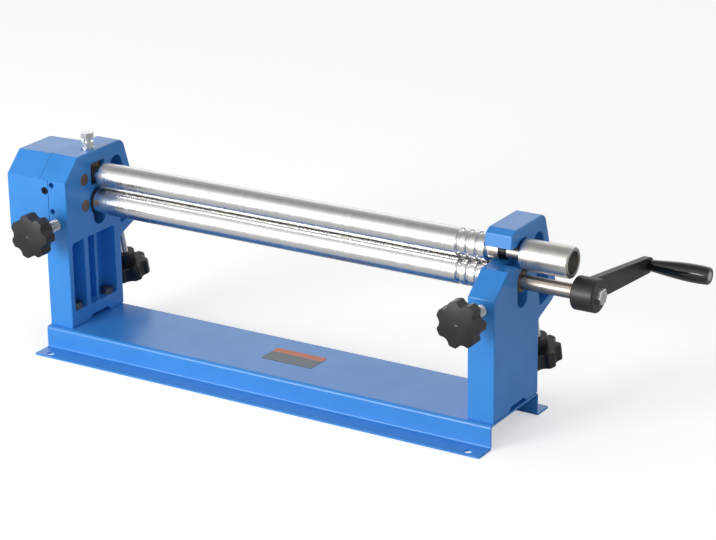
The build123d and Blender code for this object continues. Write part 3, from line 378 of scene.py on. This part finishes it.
@dataclass(frozen=True)
class SpeckledMetal(Finish):
    """Plated, sintered or oxidised metal: a fine even speckle in colour and gloss.

    Real grain is finer than this; it is drawn coarser, so that it shows.
    """

    shade: str = "8a8a8c"
    speck_mm: float = 1.2
    speck_range: tuple[float, float] = (0.35, 0.68)
    depth_mm: float = 0.02
    rough_spread: float = 0.12
    edge_mm: float = 0.4

    def dress(self, tree: Tree, shader: Node, place: Socket) -> None:
        """Speckle the colour and gloss and roughen the surface a little.

        Args:
            tree: The material's nodes.
            shader: Its principled shader.
            place: Place on the piece, in the machine's own coordinates.
        """
        speck = add_node(
            tree,
            "ShaderNodeTexNoise",
            {"Scale": 1 / (self.speck_mm * MM), "Detail": 4.0, "Roughness": 0.6},
            {"Vector": place},
        )
        share = add_node(
            tree,
            "ShaderNodeMapRange",
            {"From Min": self.speck_range[0], "From Max": self.speck_range[1]},
            {"Value": speck.outputs["Fac"]},
        )
        metal = add_node(
            tree,
            "ShaderNodeMix",
            {"data_type": "RGBA", 6: linear(self.colour), 7: linear(self.shade)},
            {0: share.outputs["Result"]},
        )
        tree.links.new(metal.outputs[2], shader.inputs["Base Color"])
        rough = add_node(
            tree,
            "ShaderNodeMapRange",
            {"To Min": self.roughness, "To Max": self.roughness + self.rough_spread},
            {"Value": share.outputs["Result"]},
        )
        tree.links.new(rough.outputs["Result"], shader.inputs["Roughness"])
        self.relief(tree, shader, speck.outputs["Fac"], self.depth_mm)


@dataclass(frozen=True)
class MouldedPlastic(Finish):
    """Moulded phenolic or nylon: near-black, with the mould's faint spark-eroded grain."""

    grain_mm: float = 0.9
    depth_mm: float = 0.01
    worn: str = "2b2b2f"
    bloom_mm: float = 18.0
    bloom_range: tuple[float, float] = (0.4, 0.75)
    bloom_most: float = 0.6
    glossier: float = 0.04
    duller: float = 0.08
    edge_mm: float = 0.6

    def dress(self, tree: Tree, shader: Node, place: Socket) -> None:
        """Add a faint grain, a slow change of gloss and a greyer bloom in patches.

        Args:
            tree: The material's nodes.
            shader: Its principled shader.
            place: Place on the piece, in the machine's own coordinates.
        """
        grain = add_node(
            tree,
            "ShaderNodeTexNoise",
            {"Scale": 1 / (self.grain_mm * MM), "Detail": 2.0},
            {"Vector": place},
        )
        bloom = add_node(
            tree,
            "ShaderNodeTexNoise",
            {"Scale": 1 / (self.bloom_mm * MM), "Detail": 3.0},
            {"Vector": place},
        )
        share = add_node(
            tree,
            "ShaderNodeMapRange",
            {
                "From Min": self.bloom_range[0],
                "From Max": self.bloom_range[1],
                "To Max": self.bloom_most,
            },
            {"Value": bloom.outputs["Fac"]},
        )
        body = add_node(
            tree,
            "ShaderNodeMix",
            {"data_type": "RGBA", 6: linear(self.colour), 7: linear(self.worn)},
            {0: share.outputs["Result"]},
        )
        tree.links.new(body.outputs[2], shader.inputs["Base Color"])
        rough = add_node(
            tree,
            "ShaderNodeMapRange",
            {"To Min": self.roughness - self.glossier, "To Max": self.roughness + self.duller},
            {"Value": bloom.outputs["Fac"]},
        )
        tree.links.new(rough.outputs["Result"], shader.inputs["Roughness"])
        self.relief(tree, shader, grain.outputs["Fac"], self.depth_mm)


@dataclass(frozen=True)
class PlateInk(Finish):
    """Printed aluminium plate: grey satin ink with blank ruled lines and a warm band at its head."""

    band: str = "cc6f4c"
    rule: str = "9aa3a6"
    band_y_mm: float = 0.0
    rule_pitch_mm: float = 6.0
    rule_share: float = 0.12
    grain_mm: float = 1.5
    grain_depth_mm: float = 0.008

    def dress(self, tree: Tree, shader: Node, place: Socket) -> None:
        """Print blank ruled lines, and the band on the part of the plate beyond its line.

        Args:
            tree: The material's nodes.
            shader: Its principled shader.
            place: Place on the piece, in the machine's own coordinates.
        """
        across = add_node(tree, "ShaderNodeSeparateXYZ", {}, {0: place}).outputs["Y"]
        head = add_node(
            tree,
            "ShaderNodeMath",
            {"operation": "GREATER_THAN", 1: self.band_y_mm * MM},
            {0: across},
        )
        step = add_node(
            tree,
            "ShaderNodeMath",
            {"operation": "MULTIPLY", 1: 1 / (self.rule_pitch_mm * MM)},
            {0: across},
        )
        part = add_node(tree, "ShaderNodeMath", {"operation": "FRACT"}, {0: step.outputs[0]})
        rule = add_node(
            tree,
            "ShaderNodeMath",
            {"operation": "LESS_THAN", 1: self.rule_share},
            {0: part.outputs[0]},
        )
        field_ink = add_node(
            tree,
            "ShaderNodeMix",
            {"data_type": "RGBA", 6: linear(self.colour), 7: linear(self.rule)},
            {0: rule.outputs[0]},
        )
        ink = add_node(
            tree,
            "ShaderNodeMix",
            {"data_type": "RGBA", 7: linear(self.band)},
            {0: head.outputs["Value"], 6: field_ink.outputs[2]},
        )
        tree.links.new(ink.outputs[2], shader.inputs["Base Color"])
        grain = add_node(
            tree,
            "ShaderNodeTexNoise",
            {"Scale": 1 / (self.grain_mm * MM), "Detail": 2.0},
            {"Vector": place},
        )
        self.relief(tree, shader, grain.outputs["Fac"], self.grain_depth_mm)


@dataclass
class Paintshop:
    """The finishes of the machine, one material for each."""

    made: dict[Surface, bpy.types.Material] = field(default_factory=dict)

    def enamels(self) -> list[Finish]:
        """List the sprayed paints.

        Returns:
            The two blue enamels.
        """
        return [
            # sprayed blue machine enamel on cast iron: glossy, soft waves under the film
            EnamelOnIron(
                Surface.CAST_ENAMEL,
                "3990e2",
                roughness=0.32,
                coat=0.18,
                coat_roughness=0.14,
                specular=0.38,
                shade="3389da",
            ),
            # the same enamel on bent sheet: flatter, so its sheen is broader and more even
            EnamelOnIron(
                Surface.SHEET_ENAMEL,
                "3990e2",
                roughness=0.34,
                coat=0.25,
                coat_roughness=0.2,
                specular=0.45,
                shade="358bdd",
                peel_mm=2.2,
                peel_depth_mm=0.01,
                wave_mm=60.0,
                wave_depth_mm=0.05,
            ),
        ]

    def metals(self) -> list[Finish]:
        """List the bare, plated and painted metals.

        Returns:
            One finish for each.
        """
        return [
            # rolls turned and ground bright: mirror-like with fine rings
            GroundSteel(
                Surface.GROUND_STEEL, "dddcda", metallic=1.0, roughness=0.2, shaft_from_mm=320.5
            ),
            # sleeve left as turned: the tool's rings are coarser and duller
            GroundSteel(
                Surface.TURNED_STEEL,
                "cfccc8",
                metallic=1.0,
                roughness=0.26,
                ring_mm=1.6,
                ring_depth_mm=0.01,
            ),
            # zinc plating on bought screws and nuts: bright, faintly cold, slightly grainy
            SpeckledMetal(
                Surface.BRIGHT_ZINC,
                "d5d7d9",
                metallic=1.0,
                roughness=0.2,
                shade="b9bcc0",
                speck_mm=1.0,
            ),
            # zinc drawn darker and duller, on the bolts down in the feet
            SpeckledMetal(
                Surface.DULL_ZINC,
                "77797c",
                metallic=0.9,
                roughness=0.42,
                shade="55575a",
                speck_mm=1.8,
            ),
            # oil-filled sintered bronze of the bearing block, bushes and washers: matt brown
            SpeckledMetal(
                Surface.BRONZE,
                "86715c",
                metallic=1.0,
                roughness=0.45,
                shade="665546",
                speck_mm=1.6,
                depth_mm=0.03,
            ),
            # rough-cast crank, painted black: the sand's grain shows through the paint
            SpeckledMetal(
                Surface.CAST_BLACK,
                "1b1b1d",
                coat=0.15,
                coat_roughness=0.3,
                shade="111112",
                speck_mm=2.2,
                depth_mm=0.16,
                rough_spread=0.15,
            ),
            # black-oxide socket screws: dark, slightly oily
            SpeckledMetal(
                Surface.BLACK_OXIDE, "2c2c2f", metallic=1.0, roughness=0.34, shade="1c1c1e"
            ),
            # sawn ends of the gear pins, browned with oil
            SpeckledMetal(
                Surface.OILED_STEEL,
                "94847a",
                metallic=0.9,
                roughness=0.42,
                shade="7a655a",
                speck_mm=2.4,
                depth_mm=0.03,
            ),
        ]

    def plastics(self) -> list[Finish]:
        """List the moulded plastics.

        Returns:
            One finish for each.
        """
        return [
            # phenolic star knobs: satin black with a grey bloom on the flats
            MouldedPlastic(Surface.SATIN_PHENOLIC, "141416", roughness=0.36),
            # crank grip of polished black plastic: sharp highlights
            MouldedPlastic(
                Surface.GLOSS_PLASTIC,
                "0c0c0d",
                roughness=0.14,
                coat=0.4,
                coat_roughness=0.05,
                depth_mm=0.003,
                worn="141414",
            ),
        ]

    def mix(self) -> None:
        """Make every material once."""
        for finish in self.enamels() + self.metals() + self.plastics():
            self.made[finish.surface] = finish.material()
        LOG.info("mixed %d finishes", len(self.made))

    def dress(self, names: tuple[str, ...], surface: Surface) -> None:
        """Give CAD nodes a finish.

        Args:
            names: The nodes.
            surface: Their kind of surface.
        """
        for name in names:
            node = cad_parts[name]
            node.data.materials.clear()
            node.data.materials.append(self.made[surface])
            LOG.info("%s: %s", name, surface.value)


# ------------------------------------------------------------------ pieces made here


def finished_piece(
    name: str, work: bmesh.types.BMesh, material: bpy.types.Material
) -> bpy.types.Object:
    """Turn a bmesh that is already in its place into an object.

    Args:
        name: Name of the piece.
        work: Its shape, in metres; it is freed here.
        material: Its finish.

    Returns:
        The object, at the origin and unturned.
    """
    bmesh.ops.recalc_face_normals(work, faces=work.faces)
    mesh = bpy.data.meshes.new(name)
    work.to_mesh(mesh)
    work.free()
    mesh.materials.append(material)
    piece = bpy.data.objects.new(name, mesh)
    bpy.context.scene.collection.objects.link(piece)
    return piece


@dataclass
class ThreadedRod:
    """A rod with a rolled V-thread along its whole length, which stands for a plain CAD rod.

    Sizes are in millimetres, and shares are parts of the pitch.
    """

    name: str
    node: str
    body: str
    slot: str
    start: Triple
    direction: Triple
    length: float
    diameter: float
    pitch: float
    steps: int = 24
    depth_share: float = 0.54
    flat_share: float = 0.125
    merge_share: float = 0.02
    turns_below: float = 1.5
    spare_turns: int = 2

    def tooth(self) -> list[tuple[float, float]]:
        """Draw one tooth of the thread.

        Returns:
            Radius and height of each corner, from root to root.
        """
        crest = self.diameter / 2
        root = crest - self.depth_share * self.pitch
        flat = self.flat_share * self.pitch
        middle = self.pitch / 2
        return [
            (root, 0.0),
            (root, flat),
            (crest, middle - flat / 2),
            (crest, middle + flat / 2),
            (root, self.pitch),
        ]

    def spin_one_turn(self, work: bmesh.types.BMesh) -> None:
        """Spin the tooth once round the rod while it rises by one pitch.

        Args:
            work: Empty mesh that takes the turn, which starts below the rod's end.
        """
        below = self.turns_below * self.pitch
        points = [work.verts.new((radius, 0.0, height - below)) for radius, height in self.tooth()]
        edges = [work.edges.new(pair) for pair in zip(points, points[1:])]
        bmesh.ops.spin(
            work,
            geom=points + edges,
            cent=(0, 0, 0),
            axis=Axis.UP.value,
            dvec=(0, 0, self.pitch / self.steps),
            angle=2 * math.pi,
            steps=self.steps,
        )

    def double_turns(self, work: bmesh.types.BMesh) -> None:
        """Double the turns until they are longer than the rod, and join them.

        Args:
            work: Mesh with one turn.
        """
        turns = math.ceil(self.length / self.pitch) + self.spare_turns
        made = 1
        while made < turns:
            copy = bmesh.ops.duplicate(work, geom=work.verts[:] + work.edges[:] + work.faces[:])
            risen = [v for v in copy["geom"] if isinstance(v, bmesh.types.BMVert)]
            bmesh.ops.translate(work, vec=(0, 0, made * self.pitch), verts=risen)
            made *= 2
        bmesh.ops.remove_doubles(work, verts=work.verts, dist=self.pitch * self.merge_share)

    def cut_ends(self, work: bmesh.types.BMesh) -> None:
        """Cut both ends square and close them.

        Args:
            work: Mesh with all the turns.
        """
        for height, outwards in ((0.0, -1), (self.length, 1)):
            cut = bmesh.ops.bisect_plane(
                work,
                geom=work.verts[:] + work.edges[:] + work.faces[:],
                plane_co=(0, 0, height),
                plane_no=(0, 0, outwards),
                clear_outer=True,
            )
            rim = [e for e in cut["geom_cut"] if isinstance(e, bmesh.types.BMEdge)]
            bmesh.ops.contextual_create(work, geom=rim)

    def build(self, material: bpy.types.Material) -> bpy.types.Object:
        """Make the rod and lay it where the plain one is.

        Args:
            material: Finish of the rod.

        Returns:
            The rod, riding on its body.
        """
        work = bmesh.new()
        self.spin_one_turn(work)
        self.double_turns(work)
        self.cut_ends(work)
        bmesh.ops.scale(work, vec=(MM, MM, MM), verts=work.verts)
        along = Vector(self.direction).normalized()
        turn = along.to_track_quat("Z", "Y").to_matrix().to_4x4()
        put = Matrix.Translation(Vector(self.start) * MM) @ turn
        bmesh.ops.transform(work, matrix=put, verts=work.verts)
        piece = finished_piece(self.name, work, material)
        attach(piece, self.body)
        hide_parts(self.node)
        LOG.info("%s: %s", self.name, material.name)
        return piece


@dataclass
class RatingPlate:
    """Thin blank plate on the middle of the base's top; sizes in millimetres."""

    centre: tuple[float, float] = (14.0, 5.5)
    length: float = 82.0
    width: float = 42.0
    thickness: float = 0.4
    corner: float = 1.5
    corner_segments: int = 4
    band_from_centre: float = 7.5

    def ink(self) -> PlateInk:
        """Choose the plate's print.

        Returns:
            Grey satin ink over aluminium, with a warm band across the plate's rear edge.
        """
        return PlateInk(
            Surface.PRINTED_PLATE,
            "56626b",
            metallic=0.2,
            roughness=0.4,
            band_y_mm=self.centre[1] + self.band_from_centre,
        )

    def build(self) -> bpy.types.Object:
        """Make the plate with rounded corners and lay it on the base.

        Returns:
            The plate, riding on the frame.
        """
        work = bmesh.new()
        bmesh.ops.create_cube(work, size=1.0)
        bmesh.ops.scale(work, vec=(self.length, self.width, self.thickness), verts=work.verts)
        upright = [
            e for e in work.edges if abs(e.verts[0].co.z - e.verts[1].co.z) > self.thickness / 2
        ]
        bmesh.ops.bevel(
            work,
            geom=upright,
            offset=self.corner,
            offset_type="OFFSET",
            segments=self.corner_segments,
            profile=0.5,
            affect="EDGES",
            material=-1,
        )
        x, y = self.centre
        base_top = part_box("base_plate")[1][2] / MM
        bmesh.ops.translate(work, vec=(x, y, base_top + self.thickness / 2), verts=work.verts)
        bmesh.ops.scale(work, vec=(MM, MM, MM), verts=work.verts)
        ink = self.ink()
        piece = finished_piece("blank_plate", work, ink.material())
        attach(piece, "frame")
        LOG.info("blank_plate: %s", ink.surface.value)
        return piece


# ------------------------------------------------------------------ sub-assemblies


@dataclass
class Base:
    """Bent channel that carries the stands, with the plate on it."""

    plate: RatingPlate = field(default_factory=RatingPlate)

    def build(self, shop: Paintshop) -> None:
        """Dress the channel and lay the plate on it."""
        shop.dress(("base_plate",), Surface.SHEET_ENAMEL)
        self.plate.build()


@dataclass
class Castings:
    """The two stands and the gear cover."""

    nodes: tuple[str, ...] = ("left_stand", "right_stand", "gear_cover")

    def build(self, shop: Paintshop) -> None:
        """Dress the castings."""
        shop.dress(self.nodes, Surface.CAST_ENAMEL)


@dataclass
class Rolls:
    """The three rolls with their bearings and the locking sleeve."""

    bright: tuple[str, ...] = ("upper_roll", "lower_roll", "rear_roll", "rear_roll_pins")
    bronze: tuple[str, ...] = ("lower_bushes", "thrust_washers", "upper_bearing_block")
    turned: tuple[str, ...] = ("locking_sleeve", "rear_bearing_blocks")
    rings: tuple[str, ...] = ("block_retaining_ring", "stop_ring")

    def build(self, shop: Paintshop) -> None:
        """Dress the rolls and what carries them.

        Args:
            shop: The machine's finishes.
        """
        shop.dress(self.bright, Surface.GROUND_STEEL)
        shop.dress(self.bronze, Surface.BRONZE)
        shop.dress(self.turned, Surface.TURNED_STEEL)
        shop.dress(self.rings, Surface.BLACK_OXIDE)


@dataclass
class GearTrain:
    """Gears behind the cover."""

    gears: tuple[str, ...] = (
        "lower_roll_gear",
        "upper_roll_gear",
        "lower_idler_gear",
        "upper_idler_gear",
    )
    pins: tuple[str, ...] = ("idler_pins",)
    rings: tuple[str, ...] = ("idler_rings", "upper_gear_ring", "lower_gear_ring")
    keys: tuple[str, ...] = ("upper_gear_key", "lower_gear_key")
    grub_screws: tuple[str, ...] = ("pin_grub_screws",)

    def build(self, shop: Paintshop) -> None:
        """Dress the gears, pins, rings and keys.

        Args:
            shop: The machine's finishes.
        """
        shop.dress(self.gears, Surface.TURNED_STEEL)
        shop.dress(self.pins, Surface.OILED_STEEL)
        shop.dress(self.rings + self.keys + self.grub_screws, Surface.BLACK_OXIDE)


@dataclass
class Adjusters:
    """Front and rear screws with their star knobs; sizes in millimetres and degrees."""

    front_pitch: float = 2.0
    rear_pitch: float = 1.5
    rear_lean: float = 12.5

    def front_rod(self, side: Side) -> ThreadedRod:
        """Measure the level front screw, which runs from its knob towards the rear.

        Args:
            side: Stand that it is in.

        Returns:
            The threaded rod in its place.
        """
        node = f"{side.value}_front_screw"
        low, high = (Vector(corner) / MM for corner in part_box(node))
        middle = (low + high) / 2
        return ThreadedRod(
            name=f"{side.value}_front_thread",
            node=node,
            body=f"{side.value}_adjuster",
            slot="zinc_plate",
            start=(middle.x, low.y, middle.z),
            direction=Axis.TO_REAR.value,
            length=high.y - low.y,
            diameter=high.x - low.x,
            pitch=self.front_pitch,
        )

    def rear_rod(self, side: Side) -> ThreadedRod:
        """Measure the leaning rear screw, which runs down from its block to its knob.

        Args:
            side: Stand that it is in.

        Returns:
            The threaded rod in its place.
        """
        node = f"{side.value}_rear_screw"
        low, high = (Vector(corner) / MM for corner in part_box(node))
        lean = math.radians(self.rear_lean)
        diameter = high.x - low.x
        # a square-cut end leans with the rod, so its disc takes up this much of the box
        disc_deep, disc_high = diameter * math.cos(lean), diameter * math.sin(lean)
        return ThreadedRod(
            name=f"{side.value}_rear_thread",
            node=node,
            body=f"{side.value}_rear_adjuster",
            slot="zinc_plate",
            start=((low.x + high.x) / 2, low.y + disc_deep / 2, high.z - disc_high / 2),
            direction=(0, math.sin(lean), -math.cos(lean)),
            length=(high.z - low.z - disc_high) / math.cos(lean),
            diameter=diameter,
            pitch=self.rear_pitch,
        )

    def build(self, shop: Paintshop) -> None:
        """Dress the knobs and plugs and thread the four screws.

        Args:
            shop: The machine's finishes.
        """
        zinc = shop.made[Surface.BRIGHT_ZINC]
        for side in Side:
            knobs = (f"{side.value}_front_knob", f"{side.value}_rear_knob")
            shop.dress(knobs, Surface.SATIN_PHENOLIC)
            shop.dress((f"{side.value}_taper_plug",), Surface.GROUND_STEEL)
            self.front_rod(side).build(zinc)
            self.rear_rod(side).build(zinc)


@dataclass
class Crank:
    """Crank arm with its bolt and turning grip."""

    arm: tuple[str, ...] = ("crank_arm",)
    grip: tuple[str, ...] = ("grip",)
    zinc: tuple[str, ...] = ("crank_bolt", "grip_spindle")

    def build(self, shop: Paintshop) -> None:
        """Dress the crank.

        Args:
            shop: The machine's finishes.
        """
        shop.dress(self.arm, Surface.CAST_BLACK)
        shop.dress(self.grip, Surface.GLOSS_PLASTIC)
        shop.dress(self.zinc, Surface.BRIGHT_ZINC)


@dataclass
class Fasteners:
    """Bolts, nuts and washers of the frame, and the cover's screws."""

    zinc: tuple[str, ...] = ("pivot_bolt", "pivot_lock_nut", "pivot_washer")
    dull: tuple[str, ...] = ("foot_bolts", "foot_washers", "foot_nuts")
    black: tuple[str, ...] = ("cover_screws",)

    def build(self, shop: Paintshop) -> None:
        """Dress the fasteners.

        Args:
            shop: The machine's finishes.
        """
        shop.dress(self.zinc, Surface.BRIGHT_ZINC)
        shop.dress(self.dull, Surface.DULL_ZINC)
        shop.dress(self.black, Surface.BLACK_OXIDE)


# ------------------------------------------------------------------ studio


@dataclass(frozen=True)
class SoftBox:
    """A soft box lamp; lengths in metres and power in watts."""

    name: str
    place: Triple
    width: float
    height: float
    power: float
    aim: Triple = (0.0, 0.0, 0.15)

    def hang(self) -> None:
        """Hang the lamp so that it faces its aim."""
        light = bpy.data.lights.new(self.name, "AREA")
        light.shape = "RECTANGLE"
        light.size, light.size_y = self.width, self.height
        light.energy = self.power
        holder = bpy.data.objects.new(self.name, light)
        bpy.context.scene.collection.objects.link(holder)
        holder.location = self.place
        holder.rotation_mode = "QUATERNION"
        facing = Vector(self.aim) - Vector(self.place)
        holder.rotation_quaternion = facing.to_track_quat("-Z", "Y")


@dataclass
class Studio:
    """Camera, lamp, white surroundings and a pale floor.

    Lengths are in metres, angles in degrees, and the camera's focal length is in pixels of a
    picture as wide as frame_px. The glow is the floor's own light as the camera sees it, and the
    gleam is what bright metal sees of it.
    """

    camera_place: Triple = (1.7632, -2.6373, 1.3176)
    yaw: float = 31.866
    elevation: float = 20.026
    roll: float = -0.817
    focal_px: float = 2462.2
    frame_px: float = 716.0
    sensor_mm: float = 36.0
    far_clip: float = 50.0
    key: SoftBox = SoftBox("key_front_left", (-1.35, -3.1, 0.95), 1.8, 1.4, 84.0)
    ambient: float = 0.48
    floor_half: float = 6.0
    floor_colour: str = "ececec"
    floor_glow: float = 0.5
    floor_gleam: float = 0.02
    # how bright the soft boxes and the grey gaps between them are, from the front wall (0)
    # over the ceiling (0.5) to the back wall (1); bright metal shows them as bands
    bands: tuple[tuple[float, float], ...] = (
        (0.0, 0.8),
        (0.12, 1.1),
        (0.26, 1.15),
        (0.34, 0.7),
        (0.42, 0.45),
        (0.53, 0.36),
        (0.68, 0.5),
        (0.8, 0.9),
        (0.9, 1.7),
        (1.0, 0.35),
    )

    def camera(self) -> None:
        """Place the camera that matches the photograph."""
        yaw, elevation, roll = (math.radians(v) for v in (self.yaw, self.elevation, self.roll))
        back = Vector(
            (
                math.sin(yaw) * math.cos(elevation),
                -math.cos(yaw) * math.cos(elevation),
                math.sin(elevation),
            )
        )
        right = Vector(Axis.UP.value).cross(back).normalized()
        up = back.cross(right)
        right, up = (
            math.cos(roll) * right + math.sin(roll) * up,
            -math.sin(roll) * right + math.cos(roll) * up,
        )
        lens = bpy.data.cameras.new("photo_camera")
        lens.sensor_width = self.sensor_mm
        lens.lens = self.focal_px / self.frame_px * self.sensor_mm
        lens.clip_end = self.far_clip
        camera = bpy.data.objects.new("photo_camera", lens)
        bpy.context.scene.collection.objects.link(camera)
        turn = Matrix((right, up, back)).transposed().to_4x4()
        camera.matrix_world = Matrix.Translation(Vector(self.camera_place)) @ turn
        bpy.context.scene.camera = camera

    def white_mix(self, tree: Tree) -> Socket:
        """Find the rays that see the white background: the camera's, glossy ones and glass's.

        Args:
            tree: Node tree of the world or floor.

        Returns:
            A value of 1 on those rays and 0 on the rest.
        """
        ray = add_node(tree, "ShaderNodeLightPath")
        some = add_node(
            tree,
            "ShaderNodeMath",
            {"operation": "MAXIMUM"},
            {0: ray.outputs["Is Camera Ray"], 1: ray.outputs["Is Glossy Ray"]},
        )
        return add_node(
            tree,
            "ShaderNodeMath",
            {"operation": "MAXIMUM"},
            {0: some.outputs[0], 1: ray.outputs["Is Transmission Ray"]},
        ).outputs[0]

    def band_light(self, tree: Tree) -> Socket:
        """Work out how bright the studio is in a ray's direction, round the rolls' axis.

        Args:
            tree: Node tree of the world.

        Returns:
            The brightness of the band that the ray meets.
        """
        way = add_node(tree, "ShaderNodeTexCoord").outputs["Generated"]
        apart = add_node(tree, "ShaderNodeSeparateXYZ", {}, {0: way})
        front = add_node(
            tree, "ShaderNodeMath", {"operation": "MULTIPLY", 1: -1.0}, {0: apart.outputs["Y"]}
        )
        turn = add_node(
            tree,
            "ShaderNodeMath",
            {"operation": "ARCTAN2"},
            {0: apart.outputs["Z"], 1: front.outputs[0]},
        )
        share = add_node(
            tree,
            "ShaderNodeMath",
            {"operation": "MULTIPLY", 1: 1 / math.pi},
            {0: turn.outputs[0]},
        )
        bands = add_node(tree, "ShaderNodeValToRGB", {}, {"Fac": share.outputs[0]})
        ramp = bands.color_ramp
        ramp.interpolation = "EASE"
        first, *between, last = self.bands
        for place, grey in between:
            ramp.elements.new(place).color = (grey, grey, grey, 1.0)
        for stop, (place, grey) in ((ramp.elements[0], first), (ramp.elements[-1], last)):
            stop.position = place
            stop.color = (grey, grey, grey, 1.0)
        return bands.outputs["Color"]

    def world(self) -> None:
        """Light the room evenly, show it white and let bright metal see the bands."""
        world = bpy.data.worlds.new("studio")
        bpy.context.scene.world = world
        world.use_nodes = True
        tree = world.node_tree
        tree.nodes.clear()
        ray = add_node(tree, "ShaderNodeLightPath")
        seen = add_node(
            tree,
            "ShaderNodeMix",
            {"data_type": "FLOAT", 2: 1.0},
            {0: ray.outputs["Is Glossy Ray"], 3: self.band_light(tree)},
        )
        strength = add_node(
            tree,
            "ShaderNodeMix",
            {"data_type": "FLOAT", 2: self.ambient},
            {0: self.white_mix(tree), 3: seen.outputs[0]},
        )
        glow = add_node(
            tree,
            "ShaderNodeBackground",
            {"Color": WHITE},
            {"Strength": strength.outputs[0]},
        )
        add_node(tree, "ShaderNodeOutputWorld", {}, {"Surface": glow.outputs[0]})

    def floor(self) -> None:
        """Lay a plain pale floor that keeps the machine's shadow."""
        work = bmesh.new()
        bmesh.ops.create_grid(work, x_segments=1, y_segments=1, size=self.floor_half)
        mesh = bpy.data.meshes.new("floor")
        work.to_mesh(mesh)
        work.free()
        floor = bpy.data.objects.new("floor", mesh)
        bpy.context.scene.collection.objects.link(floor)
        paper = bpy.data.materials.new("white_paper_sweep")
        paper.use_nodes = True
        tree = paper.node_tree
        tree.nodes.clear()
        matte = add_node(tree, "ShaderNodeBsdfDiffuse", {"Color": linear(self.floor_colour)})
        ray = add_node(tree, "ShaderNodeLightPath")
        dimmer = add_node(
            tree,
            "ShaderNodeMapRange",
            {"To Min": self.floor_glow, "To Max": self.floor_gleam},
            {"Value": ray.outputs["Is Glossy Ray"]},
        )
        share = add_node(
            tree,
            "ShaderNodeMath",
            {"operation": "MULTIPLY"},
            {0: self.white_mix(tree), 1: dimmer.outputs["Result"]},
        )
        glow = add_node(
            tree, "ShaderNodeEmission", {"Color": WHITE}, {"Strength": share.outputs[0]}
        )
        mixed = add_node(
            tree, "ShaderNodeAddShader", {}, {0: matte.outputs[0], 1: glow.outputs[0]}
        )
        add_node(tree, "ShaderNodeOutputMaterial", {}, {"Surface": mixed.outputs[0]})
        mesh.materials.append(paper)

    def build(self) -> None:
        """Set up the whole studio."""
        bpy.context.scene.view_settings.view_transform = "Standard"
        self.camera()
        self.world()
        self.floor()
        self.key.hang()
        LOG.info("studio is lit")


def main() -> None:
    """Dress the machine, add its pieces and light it."""
    logging.basicConfig(level=logging.INFO, format="%(name)s %(message)s")
    shop = Paintshop()
    shop.mix()
    for assembly in (Base(), Castings(), Rolls(), GearTrain(), Adjusters(), Crank(), Fasteners()):
        assembly.build(shop)
        LOG.info("%s done", type(assembly).__name__)
    Studio().build()


if __name__ == "__main__":
    main()
